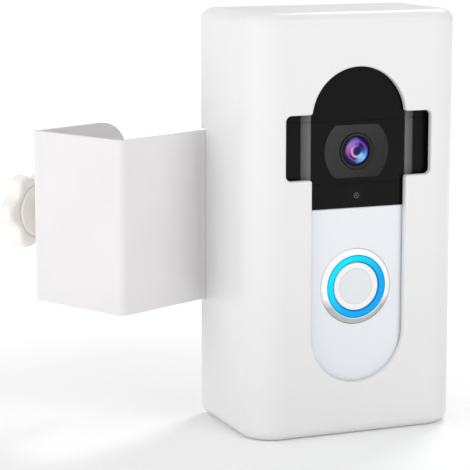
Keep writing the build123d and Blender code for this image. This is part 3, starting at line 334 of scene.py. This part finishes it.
def lens_painted_reflections(name):
    """Glass with painted reflections of its coating: lilac at the upper left, cyan at the lower right, navy
    between, round a dark pupil, with a painted lilac arc and a violet flare ring. It glows a little though it is
    no lamp.
    Distances from the middle are shares of the lens's radius."""
    n = Nodes(name)
    dx, dz = n.offset(lens_centre)
    turn = n.math("MULTIPLY_ADD", n.math("ARCTAN2", dz, dx), 1.0 / FULL_TURN, 0.5)
    stops = [(0.5 + degrees / 360.0, rgb(colour, LENS_REFLECTION_GAIN)[:3]) for degrees, colour in LENS_REFLECTION_HUES]
    hue = n.ramp(turn, *stops)
    r = n.math("DIVIDE", n.radius(lens_centre), lens_radius)
    rim = n.span(r, 0.86, 0.74)
    base = n.mix(rim, (0.004, 0.003, 0.022, 1.0), hue)
    # painted reflection: a lilac crescent arc round the pupil
    inner_left = n.product(n.span(turn, 0.99, 0.90), n.span(turn, 0.46, 0.30))
    crescent = n.product(n.span(r, 0.26, 0.36), n.span(r, 0.50, 0.40))
    arc = n.product(crescent, n.math("MAXIMUM", inner_left, n.span(turn, 0.80, 0.98)))
    base = n.mix(n.product(arc, 0.85), base, (0.50, 0.26, 0.58, 1.0))
    base = n.mix(n.span(r, 0.22, 0.34), (0.004, 0.003, 0.05, 1.0), base)
    # painted reflection: a violet flare ring
    painted_flare = n.product(n.span(r, 0.56, 0.62), n.span(r, 0.74, 0.66))
    base = n.mix(n.product(painted_flare, 0.3), base, (0.30, 0.12, 0.75, 1.0))
    # painted light: the lens glows a little though it is no lamp
    return n.set(Base_Color=base, Emission_Color=base, Emission_Strength=0.45, Roughness=0.08,
                 Coat_Weight=0.1, Coat_Roughness=0.02, Specular_IOR_Level=0.12,
                 Normal=n.bump(n.noise(3.0), 0.002))


def sensor_eye(name):
    """The sensor panel: near-black, with a small grey ring and a pale centre at the light sensor."""
    n = Nodes(name)
    r = n.radius(eye_centre)
    ring = n.product(n.span(r, 0.62 * MM, 0.78 * MM), n.span(r, 1.22 * MM, 1.05 * MM))
    dot = n.span(r, 0.38 * MM, 0.22 * MM)
    mottle = n.noise(1.5, detail=3.0)
    base = n.mix(mottle, (0.002, 0.002, 0.002, 1.0), (0.004, 0.004, 0.004, 1.0))
    base = n.mix(ring, base, (0.085, 0.085, 0.085, 1.0))
    base = n.mix(dot, base, (0.20, 0.20, 0.20, 1.0))
    return n.set(Base_Color=base, Roughness=n.remap(mottle, 0.2, 0.3), Specular_IOR_Level=0.12)


def smoked(name, colour, rough):
    """Smoked window: dark, glossy, with a painted sheen that makes it lighter toward its upper left."""
    n = Nodes(name)
    slant = n.math("SUBTRACT", *n.offset(lens_centre))
    # painted sheen: lighter toward the upper left, standing in for a reflection
    painted_sheen = n.span(slant, 16.0 * MM, -18.0 * MM)
    base = n.mix(painted_sheen, rgb(colour, 0.35), rgb(colour, 1.35))
    base = n.mix(n.product(n.noise(5.0, detail=3.0), 0.3), base, rgb(colour, 0.6))
    return n.set(Base_Color=base, Roughness=n.remap(n.noise(7.0, detail=5.0), rough * 0.8, rough * 1.3),
                 Specular_IOR_Level=0.25, Normal=n.bump(n.noise(0.3), 0.0015))


def wrap(name, colour):
    """Heat-shrink battery wrap with fine wrinkles, painted darker in their hollows as shade."""
    n = Nodes(name)
    wrinkles = n.noise(2.0, detail=6.0, rough=0.7)
    # painted shade: darker in the wrinkles' hollows and lighter on their crests
    base = n.mix(wrinkles, rgb(colour, 0.75), rgb(colour, 1.25))
    return n.set(Base_Color=base, Roughness=n.remap(wrinkles, 0.25, 0.45), Normal=n.bump(wrinkles, 0.08))


palette = {
    "white_gloss": moulded("white_gloss", (0.775, 0.775, 0.775), 0.30, gloss=0.3),
    "white_plate": moulded("white_plate", (0.78, 0.81, 0.84), 0.34, gloss=0.3),
    "white_carrier": moulded("white_carrier", (0.72, 0.72, 0.71), 0.5, grain_depth=0.01),
    "black_gloss": doorbell_black("black_gloss", (0.0035, 0.0035, 0.0038), (0.16, 0.16, 0.16), 0.24),
    "black_matte": moulded("black_matte", (0.018, 0.018, 0.019), 0.55, grain_depth=0.012, tint=0.15),
    "white_steel": powder_coat("white_steel", (0.775, 0.748, 0.757), 0.32),
    "zinc_steel": plated("zinc_steel", (0.66, 0.66, 0.68), 0.30),
    "cream_plastic": moulded("cream_plastic", (0.91, 0.88, 0.84), 0.34, gloss=0.4),
    "black_rubber": rubber("black_rubber", (0.022, 0.022, 0.023)),
    "window_smoke": smoked("window_smoke", (0.022, 0.022, 0.022), 0.26),
    "lens_coated": lens_painted_reflections("lens_coated"),
    "trim_black": moulded("trim_black", (0.030, 0.027, 0.024), 0.4, tint=0.1, gloss=0.2),
    "bezel_white": pearl_bezel("bezel_white", (0.98, 0.98, 0.98), (0.47, 0.475, 0.47)),
    "ring_blue": glow_ring("ring_blue"),
    "button_white": button_face("button_white", (0.745, 0.775, 0.80), (0.86, 0.87, 0.88)),
    "board_green": circuit_board("board_green", (0.012, 0.10, 0.045), (0.75, 0.73, 0.68)),
    "board_white": circuit_board("board_white", (0.72, 0.72, 0.70), (0.8, 0.62, 0.3)),
    "cell_wrap": wrap("cell_wrap", (0.03, 0.08, 0.26)),
    "silver_can": plated("silver_can", (0.74, 0.74, 0.75), 0.25),
    "copper_trace": plated("copper_trace", (0.85, 0.48, 0.28), 0.3),
    "foam_grey": foam("foam_grey", (0.05, 0.05, 0.05)),
    "sensor_dark": sensor_eye("sensor_dark"),
}

slot_of = {part["node"]: part["material_slot"] for part in frame["record"]["subparts"]}


def dress(obj, material):
    obj.data.materials.clear()
    obj.data.materials.append(material)


for node_name, node in nodes.items():
    dress(node, palette[slot_of[node_name]])
dress(nodes["sensor_window"], palette["sensor_dark"])


# ---------------------------------------------------------------- mesh helpers
class Axis:
    """A line that pieces are turned round: its start, its direction k, and u and v across it."""

    def __init__(self, start, k, v=(0, 0, 1)):
        self.start = Vector(start)
        self.k = Vector(k).normalized()
        self.v = (Vector(v) - self.k * self.k.dot(Vector(v))).normalized()
        self.u = self.v.cross(self.k)

    def at(self, k, r, angle):
        return self.start + self.k * k + (self.u * math.cos(angle) + self.v * math.sin(angle)) * r

    def reach(self, node_name):
        """Lowest and highest k, and the largest radius, of a CAD node's points."""
        offsets = [vertex.co - self.start for vertex in nodes[node_name].data.vertices]
        ks = [offset.dot(self.k) for offset in offsets]
        radius = max((offset - self.k * k).length for offset, k in zip(offsets, ks))
        return min(ks), max(ks), radius


def forward_axis(centre):
    """The axis through centre that points out of the doorbell's front."""
    return Axis((centre.x, 0, centre.z), (0, -1, 0))


def piece(name, points, faces, material, body, smooth_angle=40.0):
    """A mesh object that rides on body, smooth apart from edges sharper than smooth_angle."""
    mesh = bpy.data.meshes.new(name)
    mesh.from_pydata([tuple(point) for point in points], [], faces)
    mesh.validate()
    obj = bpy.data.objects.new(name, mesh)
    bpy.context.scene.collection.objects.link(obj)
    clean = bmesh.new()
    clean.from_mesh(mesh)
    bmesh.ops.remove_doubles(clean, verts=clean.verts, dist=SAME_POINT)
    bmesh.ops.recalc_face_normals(clean, faces=clean.faces)
    for face in clean.faces:
        face.smooth = True
    for edge in clean.edges:
        if len(edge.link_faces) == 2 and edge.calc_face_angle(0.0) > math.radians(smooth_angle):
            edge.smooth = False
    clean.to_mesh(mesh)
    clean.free()
    dress(obj, material)
    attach(obj, body)
    return obj


def bands(rings, around):
    """Faces that join each ring of points to the next."""
    faces = []
    for j in range(rings - 1):
        for i in range(around):
            n = (i + 1) % around
            faces.append((j * around + i, j * around + n, (j + 1) * around + n, (j + 1) * around + i))
    return faces


def turned(axis, rings, around=96):
    """Points and faces of a solid of revolution. A ring is (k, r), where r is a radius or gives it by angle.
    The first and last rings are closed with a fan to the axis unless the list ends where it began."""
    points = []
    for k, r in rings:
        for i in range(around):
            angle = FULL_TURN * i / around
            points.append(axis.at(k, r(angle) if callable(r) else r, angle))
    faces = bands(len(rings), around)
    if rings[0] != rings[-1]:
        for j in (0, len(rings) - 1):
            centre = len(points)
            points.append(axis.at(rings[j][0], 0.0, 0.0))
            for i in range(around):
                faces.append((j * around + i, j * around + (i + 1) % around, centre))
    return points, faces


def rounded(path, steps=5):
    """A profile of (k, r) points where a third number rounds that corner by an arc of about that size."""
    result = []
    for i, point in enumerate(path):
        size = point[2] if len(point) > 2 else 0.0
        if not size or i in (0, len(path) - 1):
            result.append(tuple(point[:2]))
            continue
        here = Vector(point[:2])
        before = Vector(path[i - 1][:2])
        after = Vector(path[i + 1][:2])
        start = here + (before - here).normalized() * size
        end = here + (after - here).normalized() * size
        for step in range(steps + 1):
            t = step / steps
            result.append(tuple(start * (1 - t) ** 2 + here * 2 * t * (1 - t) + end * t ** 2))
    return result


def quarter_turn(steps):
    """Angles from 0 to a quarter turn in equal steps."""
    return [math.radians(90.0 * step / steps) for step in range(steps + 1)]


# ---------------------------------------------------------------- clamp screw and knob
turn_joint = joints["knob_turn"]
screw_axis = Axis(turn_joint["pos_m"], [-value for value in turn_joint["axis"]])
THREAD_PITCH = FULL_TURN / frame["record"]["behaviour"]["couplings"][0]["ratio"]
THREAD_DEPTH = 0.61 * THREAD_PITCH


def thread_rings(k0, k1, major):
    """Rings whose radius follows a right-hand vee thread, running out smoothly at both ends."""
    steps_per_turn, flank_slope, root_flat = 10, 2.4, 0.1
    run_out = 0.8 * THREAD_PITCH
    count = int((k1 - k0) / THREAD_PITCH * steps_per_turn)
    rings = []
    for i in range(count + 1):
        k = k0 + (k1 - k0) * i / count
        fade = min(1.0, (k - k0) / run_out, (k1 - k) / run_out)

        def radius(angle, k=k, fade=fade):
            phase = (k / THREAD_PITCH - angle / FULL_TURN) % 1.0
            flank = min(max(abs(phase - 0.5) * flank_slope - root_flat, 0.0), 1.0)
            return major - THREAD_DEPTH * (1.0 - flank * fade)

        rings.append((k, radius))
    return rings


def build_clamp_screw():
    """The threaded rod, and the grooved pin at its end that the foot turns on."""
    low, high, major = screw_axis.reach("clamp_screw")
    clip_low, clip_high, _ = screw_axis.reach("retaining_ring")
    foot_gap, end_soft, thread_start, thread_end = 0.2 * MM, 0.3 * MM, 0.3 * MM, 0.2 * MM
    pin, centre_hole, groove, groove_side = 2.0 * MM, 0.4 * MM, 0.3 * MM, 0.05 * MM
    shoulder = screw_axis.reach("pressure_foot")[1] + foot_gap
    root = major - THREAD_DEPTH
    journal = rounded([(low, centre_hole), (low, pin, end_soft), (clip_low, pin),
                       (clip_low + groove_side, pin - groove), (clip_high - groove_side, pin - groove),
                       (clip_high, pin), (shoulder, pin), (shoulder, root)])
    thread = thread_rings(shoulder + thread_start, high - thread_end, major)
    points, faces = turned(screw_axis, journal + thread + [(high, root)], around=48)
    rod = piece("clamp_screw_thread", points, faces, palette["zinc_steel"], "screw", smooth_angle=50.0)
    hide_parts("clamp_screw")


LOBES, LOBE_DEPTH, LOBE_FULLNESS = 6, 0.095, 0.16


def build_knob():
    """The star knob, with a hub behind it and a well in front, and the cap in the well."""
    low, high, reach = screw_axis.reach("knob")
    cap_low, cap_high, cap_radius = screw_axis.reach("knob_cap")
    bore = screw_axis.reach("clamp_screw")[2]
    middle = reach / (1 + LOBE_DEPTH)

    def star(share):
        """The lobed outline at a share of its full size, rounder toward the middle."""
        depth = LOBE_DEPTH * share ** 3

        def radius(angle):
            swing = math.cos(LOBES * angle)
            return middle * share * (1 + depth * (swing + LOBE_FULLNESS * (1 - swing * swing) * swing))

        return radius

    hub, hub_height, socket, soft_edge = 10.4 * MM, 0.9 * MM, 4.5 * MM, 1.7 * MM
    well, seat = 0.3 * MM, 0.1 * MM
    face = low + hub_height
    rings = rounded([(low + socket, bore), (low, bore), (low, hub - 1.6 * MM), (low, hub, 0.5 * MM),
                     (face + 0.5 * MM, hub)])
    rings += [(face + 0.5 * MM, hub + 0.35 * MM), (face, hub + 0.75 * MM), (face - 0.1 * MM, star(0.80)),
              (face, star(0.88))]
    for bow in quarter_turn(6):
        share = 1.0 - (soft_edge / middle) * (1.0 - math.sin(bow))
        rings.append((face + soft_edge * (1.0 - math.cos(bow)), star(share)))
    for bow in quarter_turn(6):
        share = 1.0 - (soft_edge / middle) * (1.0 - math.cos(bow))
        rings.append((high - soft_edge + soft_edge * math.sin(bow), star(share)))
    rings += [(high - 0.05 * MM, star(0.80)), (high - well, star(0.66)), (high - well, cap_radius + 0.7 * MM),
              (high - 0.5 * MM, cap_radius + 0.25 * MM), (cap_low + seat, cap_radius + 0.15 * MM),
              (cap_low + seat, bore), (low + socket, bore)]
    points, faces = turned(screw_axis, rings, around=240)
    star_knob = piece("star_knob", points, faces, palette["cream_plastic"], "screw", smooth_angle=55.0)
    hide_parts("knob")
    crown = cap_high - 0.12 * MM
    dome = rounded([(cap_low + seat, cap_radius), (cap_high - 0.4 * MM, cap_radius, 0.35 * MM),
                    (crown, cap_radius * 0.82), (cap_high - 0.35 * MM, cap_radius * 0.72, 0.3 * MM),
                    (crown, cap_radius * 0.62), (cap_high, cap_radius * 0.2)])
    points, faces = turned(screw_axis, dome, around=96)
    cap = piece("knob_cap_disc", points, faces, palette["cream_plastic"], "screw")
    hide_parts("knob_cap")


# ---------------------------------------------------------------- welded nut
NUT_FLATS, NUT_BORE = 10.0 * MM, 3.0 * MM


def hex_radius(flats):
    """Radius of a hexagon, flats apart by the given size, at an angle."""
    return lambda angle: flats / 2 / math.cos((angle + math.pi / 6) % (math.pi / 3) - math.pi / 6)


def nut_mesh(axis, k0, k1, flats, bore, around=96):
    """A hexagon nut with chamfered corners and a countersunk bore."""
    outline = hex_radius(flats)
    angles = [FULL_TURN * i / around for i in range(around)]
    washer_face, chamfer_start, chamfer_slope = flats / 2 * 0.95, flats / 2 * 0.97, 0.55
    lead_in, countersink = 0.5 * MM, 0.45 * MM

    def flat(k, r):
        return [(k, r)] * around

    def chamfered(k, inward):
        """The outline, set back along the axis where it lies outside the chamfer's start."""
        setback = [max(0.0, outline(angle) - chamfer_start) * chamfer_slope for angle in angles]
        return [(k + inward * back, outline(angle)) for back, angle in zip(setback, angles)]

    rings = [flat(k0, bore), flat(k0, bore + lead_in), flat(k0, washer_face), chamfered(k0, 1.0),
             chamfered(k1, -1.0), flat(k1, washer_face), flat(k1, bore + countersink),
             flat(k1 - countersink, bore), flat(k0, bore)]
    points = [axis.at(k, r, angle) for ring in rings for (k, r), angle in zip(ring, angles)]
    return points, bands(len(rings), around)


def build_weld_nut():
    low, high, _ = screw_axis.reach("weld_nut")
    points, faces = nut_mesh(screw_axis, low, high, NUT_FLATS, NUT_BORE)
    nut = piece("weld_nut_hex", points, faces, palette["zinc_steel"], "base", smooth_angle=25.0)
    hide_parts("weld_nut")


# ---------------------------------------------------------------- pressure foot and its pad
FOOT_BORE, FOOT_WELL, FOOT_WELL_DEPTH = 2.05 * MM, 4.4 * MM, 1.3 * MM
PAD_RIB_RADII = (9.0, 7.0, 5.0, 3.0)


def build_foot():
    """The foot's disc, with a boss behind it and a well in front, and its pad with round grooves."""
    low, high, radius = screw_axis.reach("pressure_foot")
    floor = low + FOOT_WELL_DEPTH
    dish = rounded([(floor, FOOT_BORE), (high, FOOT_BORE), (high, 6.0 * MM, 0.5 * MM),
                    (high - 0.9 * MM, 6.6 * MM, 0.4 * MM), (high - 1.1 * MM, radius, 0.8 * MM), (low, radius),
                    (low, FOOT_WELL), (floor, FOOT_WELL), (floor, FOOT_BORE)])
    points, faces = turned(screw_axis, dish, around=96)
    foot = piece("pressure_foot_disc", points, faces, palette["white_carrier"], "foot")
    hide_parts("pressure_foot")
    pad_low, pad_high, pad_radius = screw_axis.reach("foot_pad")
    groove, recess, core = 0.5 * MM, pad_high - 0.6 * MM, 0.3 * MM
    profile = [(recess, core), (recess, FOOT_WELL), (pad_high, FOOT_WELL), (pad_high, pad_radius - 0.1 * MM)]
    profile += [(pad_low + 0.7 * MM, pad_radius), (pad_low + 0.1 * MM, pad_radius - 0.5 * MM)]
    for r in PAD_RIB_RADII:
        profile += [(pad_low, (r + 0.9) * MM), (pad_low, (r + 0.35) * MM), (pad_low + groove, (r + 0.2) * MM),
                    (pad_low + groove, (r - 0.2) * MM), (pad_low, (r - 0.35) * MM)]
    profile += [(pad_low, core)]
    points, faces = turned(screw_axis, profile, around=72)
    pad = piece("foot_pad_ribbed", points, faces, palette["black_rubber"], "foot", smooth_angle=30.0)
    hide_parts("foot_pad")


# ---------------------------------------------------------------- ribbed rubber pads on the clamp arms
PAD_RIBS, PAD_RIM, PAD_RIM_WIDTH = 12, 0.55, 1.2 * MM
PAD_COLUMNS, PAD_ROWS = 120, 24
UP = Vector((0, 0, 1))


def build_arm_pad(node_name, normal, across):
    """A rubber pad with a rounded rim and upright ribs on the side that normal points to."""
    corners = [vertex.co for vertex in nodes[node_name].data.vertices]
    spans = []
    for direction in (across, UP, normal):
        reached = [corner.dot(direction) for corner in corners]
        spans.append((min(reached), max(reached)))
    (a0, a1), (z0, z1), (n0, n1) = spans

    def height(s, t):
        """Share of the pad's thickness at s across and t up it, both 0 to 1."""
        nearest = min(s * (a1 - a0), (1 - s) * (a1 - a0), t * (z1 - z0), (1 - t) * (z1 - z0))
        edge = nearest / PAD_RIM_WIDTH
        ribs = 0.5 + 0.5 * math.cos(FULL_TURN * s * PAD_RIBS)
        inside = min(max(edge - 1.0, 0.0), 1.0)
        body = PAD_RIM + (1.0 - PAD_RIM) * inside * ribs ** 0.6
        return body * min(max(edge, 0.0), 1.0) ** 0.4

    points, faces = [], []
    for j in range(PAD_ROWS + 1):
        for i in range(PAD_COLUMNS + 1):
            s, t = i / PAD_COLUMNS, 0.5 - 0.5 * math.cos(math.pi * j / PAD_ROWS)
            place = across * (a0 + (a1 - a0) * s) + UP * (z0 + (z1 - z0) * t)
            points.append(place + normal * (n0 + (n1 - n0) * height(s, t)))
    row = PAD_COLUMNS + 1
    for j in range(PAD_ROWS):
        for i in range(PAD_COLUMNS):
            k = j * row + i
            faces.append((k, k + 1, k + row + 1, k + row))
    back = list(range(PAD_COLUMNS))
    back += [j * row + PAD_COLUMNS for j in range(PAD_ROWS)]
    back += [PAD_ROWS * row + i for i in range(PAD_COLUMNS, 0, -1)]
    back += [j * row for j in range(PAD_ROWS, 0, -1)]
    faces.append(tuple(back))
    pad = piece(node_name + "_ribbed", points, faces, palette["black_rubber"], "base", smooth_angle=35.0)
    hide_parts(node_name)


# ---------------------------------------------------------------- lens, bezel, light sensor and button
def build_lens():
    """The lens's dome, and the collar round it that steps down to the glass."""
    lens_axis = forward_axis(lens_centre)
    low, high, radius = lens_axis.reach("lens_glass")
    land, core = 0.25 * MM, 0.02 * MM
    crown = high - low - land
    dome = [(low, radius * 0.02), (low, radius)]
    for bow in quarter_turn(12):
        dome.append((low + land + crown * math.sin(bow), radius * math.cos(bow) + core))
    points, faces = turned(lens_axis, dome, around=96)
    glass = piece("lens_dome", points, faces, palette["lens_coated"], "base", smooth_angle=70.0)
    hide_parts("lens_glass")
    trim_low, trim_high, trim_radius = lens_axis.reach("lens_trim_ring")
    gap, rim_height, lip = 0.38 * MM, 1.3 * MM, 0.6 * MM
    neck = trim_radius - gap
    collar = [(trim_low, trim_radius), (trim_high - rim_height, trim_radius), (trim_high - rim_height, neck)]
    collar += rounded([(trim_high - 0.5 * MM, neck), (trim_high, neck, 0.15 * MM),
                       (trim_high - 0.05 * MM, trim_radius - lip)])
    for step in range(4):
        r = trim_radius - lip - 0.18 * step * MM
        k = trim_high - (0.05 + 0.22 * step) * MM
        collar += [(k - 0.18 * MM, r), (k - 0.22 * MM, r - 0.18 * MM)]
    collar += [(trim_low, radius + 0.02 * MM), (trim_low, trim_radius)]
    points, faces = turned(lens_axis, collar, around=96)
    trim = piece("lens_collar", points, faces, palette["trim_black"], "base", smooth_angle=35.0)
    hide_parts("lens_trim_ring")


def build_bezel():
    """The white cone round the light ring, with a fine gap where it meets the faceplate."""
    bezel_axis = forward_axis(ring_centre)
    low, high, radius = bezel_axis.reach("button_bezel")
    plate = -face_y
    bore = ring_radius + 0.05 * MM
    gap, gap_floor = 0.12 * MM, plate - 0.8 * MM
    profile = [(low, bore), (low, radius), (gap_floor, radius), (gap_floor, radius - gap)]
    profile += rounded([(plate - 0.5 * MM, radius - gap), (plate + 0.05 * MM, radius - 0.14 * MM, 0.2 * MM),
                        (high - 0.02 * MM, bore + 0.55 * MM, 0.35 * MM), (high - 0.25 * MM, bore)])
    profile += [(low, bore)]
    points, faces = turned(bezel_axis, profile, around=144)
    bezel = piece("button_bezel_cone", points, faces, palette["bezel_white"], "base")
    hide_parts("button_bezel")


def build_sensor():
    """The light sensor's little raised ring with a dome in it."""
    eye_axis = forward_axis(eye_centre)
    low, high, radius = eye_axis.reach("light_sensor")
    stem, head, dish = 0.9 * MM, high - 0.95 * MM, high - 0.4 * MM
    profile = [(low, 0.05 * MM), (low, stem), (head, stem), (head, radius)]
    profile += rounded([(high - 0.5 * MM, radius), (high, radius - 0.05 * MM, 0.15 * MM),
                        (high - 0.02 * MM, radius - 0.45 * MM, 0.1 * MM), (dish, radius - 0.6 * MM)])
    profile += rounded([(dish, 0.35 * MM), (high - 0.12 * MM, 0.25 * MM, 0.1 * MM),
                        (high - 0.1 * MM, 0.02 * MM)])
    points, faces = turned(eye_axis, profile, around=48)
    eye = piece("light_sensor_eye", points, faces, palette["sensor_dark"], "base")
    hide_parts("light_sensor")


BUTTON_RADIUS, BUTTON_STEM, BUTTON_SOFT = 9.17 * MM, 2.0 * MM, 0.2 * MM


def build_button():
    """The push button: a stem, a flange behind the bezel, and a face dished inside a rounded border."""
    button_axis = forward_axis(ring_centre)
    low, high, flange = button_axis.reach("button_cap")
    under, over = low + 0.8 * MM, low + 1.8 * MM
    profile = rounded([(low, 0.2 * MM), (low, BUTTON_STEM, BUTTON_SOFT), (under, BUTTON_STEM),
                       (under, flange, BUTTON_SOFT), (over, flange, BUTTON_SOFT), (over, BUTTON_RADIUS),
                       (high - 0.1 * MM, BUTTON_RADIUS, 0.55 * MM),
                       (high, BUTTON_RADIUS - 1.0 * MM, 0.4 * MM),
                       (high - 0.05 * MM, BUTTON_RADIUS - 1.8 * MM, 0.5 * MM),
                       (high - 0.42 * MM, BUTTON_RADIUS - 2.6 * MM, 0.5 * MM),
                       (high - 0.36 * MM, BUTTON_RADIUS * 0.45), (high - 0.30 * MM, 0.1 * MM)], steps=6)
    points, faces = turned(button_axis, profile, around=128)
    cap = piece("button_cap_dished", points, faces, palette["button_white"], "button")
    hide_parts("button_cap")


out_way = screw_axis.k
arm_way = Vector((out_way.y, -out_way.x, 0.0))

build_clamp_screw()
build_knob()
build_weld_nut()
build_foot()
build_arm_pad("front_pad", out_way, arm_way)
build_arm_pad("side_pad", arm_way, out_way)
build_lens()
build_bezel()
build_sensor()
build_button()


# ---------------------------------------------------------------- stage, lights and camera
FLOOR_HALF = 6.0
FLOOR_FADE, FLOOR_GLOW = (0.14, 0.45), (0.05, 0.42)


def build_floor():
    """A matt white floor that glows more away from the object, so that it runs into the background. Its weaker
    glow near the object is painted shade round it.
    """
    n = Nodes("studio_floor")
    x, y, _ = n.axes()
    away = n.length(x, y)
    # painted shade: the glow is weakest near the object, darkening the floor round its foot
    glow = n.remap(n.span(away, *FLOOR_FADE), *FLOOR_GLOW)
    n.set(Base_Color=(0.9, 0.9, 0.9, 1.0), Roughness=0.6, Emission_Color=(1.0, 1.0, 1.0, 1.0),
          Emission_Strength=glow)
    mesh = bpy.data.meshes.new("studio_floor")
    corners = [(-FLOOR_HALF, -FLOOR_HALF, 0), (FLOOR_HALF, -FLOOR_HALF, 0), (FLOOR_HALF, FLOOR_HALF, 0),
               (-FLOOR_HALF, FLOOR_HALF, 0)]
    mesh.from_pydata(corners, [], [(0, 1, 2, 3)])
    floor = bpy.data.objects.new("studio_floor", mesh)
    bpy.context.scene.collection.objects.link(floor)
    dress(floor, n.material)


def area_light(name, place, aim, size, watts):
    """A white rectangular lamp at place, facing aim."""
    data = bpy.data.lights.new(name, "AREA")
    data.shape = "RECTANGLE"
    data.size, data.size_y = size
    data.energy = watts
    lamp = bpy.data.objects.new(name, data)
    lamp.location = place
    lamp.rotation_euler = (Vector(aim) - Vector(place)).to_track_quat("-Z", "Y").to_euler()
    bpy.context.scene.collection.objects.link(lamp)


def build_world(left, right, seen):
    """Soft light all round, of strength left at -X and right at +X. The camera sees white instead."""
    world = bpy.data.worlds.new("studio")
    world.use_nodes = True
    tree = world.node_tree
    tree.nodes.clear()
    path = tree.nodes.new("ShaderNodeLightPath")
    soft = tree.nodes.new("ShaderNodeBackground")
    bright = tree.nodes.new("ShaderNodeBackground")
    both = tree.nodes.new("ShaderNodeMixShader")
    out = tree.nodes.new("ShaderNodeOutputWorld")
    way = tree.nodes.new("ShaderNodeTexCoord")
    split = tree.nodes.new("ShaderNodeSeparateXYZ")
    slope = tree.nodes.new("ShaderNodeMapRange")
    soft.inputs["Color"].default_value = (1, 1, 1, 1)
    bright.inputs["Color"].default_value = (1, 1, 1, 1)
    bright.inputs["Strength"].default_value = seen
    slope.inputs["From Min"].default_value = -1.0
    slope.inputs["To Min"].default_value = left
    slope.inputs["To Max"].default_value = right
    tree.links.new(way.outputs["Generated"], split.inputs[0])
    tree.links.new(split.outputs["X"], slope.inputs["Value"])
    tree.links.new(slope.outputs["Result"], soft.inputs["Strength"])
    tree.links.new(path.outputs["Is Camera Ray"], both.inputs["Fac"])
    tree.links.new(soft.outputs[0], both.inputs[1])
    tree.links.new(bright.outputs[0], both.inputs[2])
    tree.links.new(both.outputs[0], out.inputs["Surface"])
    bpy.context.scene.world = world


CAM_TURN, CAM_RISE = math.radians(22.2), math.radians(9.85)
CAM_DISTANCE, CAM_LENS, CAM_SENSOR, CAM_NEAR = 0.762, 154.2, 36.0, 0.05
CAM_AIM = Vector((-0.0395, 0.0, 0.0752))


def build_camera():
    data = bpy.data.cameras.new("camera")
    data.lens = CAM_LENS
    data.sensor_width = CAM_SENSOR
    data.clip_start = CAM_NEAR
    camera = bpy.data.objects.new("camera", data)
    level = math.cos(CAM_RISE)
    back = Vector((-math.sin(CAM_TURN) * level, -math.cos(CAM_TURN) * level, math.sin(CAM_RISE)))
    camera.location = CAM_AIM + back * CAM_DISTANCE
    camera.rotation_euler = (-back).to_track_quat("-Z", "Y").to_euler()
    bpy.context.scene.collection.objects.link(camera)
    bpy.context.scene.camera = camera


build_floor()
build_world(left=1.05, right=0.44, seen=1.0)
area_light("key_left", (-0.92, -0.02, 0.38), (-0.03, 0, 0.09), (0.4, 0.6), 0.9)
area_light("edge_strip", (-0.80, -0.40, 0.12), (-0.03, 0, 0.09), (0.03, 0.5), 0.3)
area_light("fill_front", (0.3, -0.95, 0.75), (-0.03, 0, 0.08), (0.6, 0.5), 2.7)
area_light("back_right", (0.45, 0.42, 0.70), (0, 0, 0.05), (0.28, 0.28), 2.4)
build_camera()
bpy.context.scene.view_settings.view_transform = "Standard"
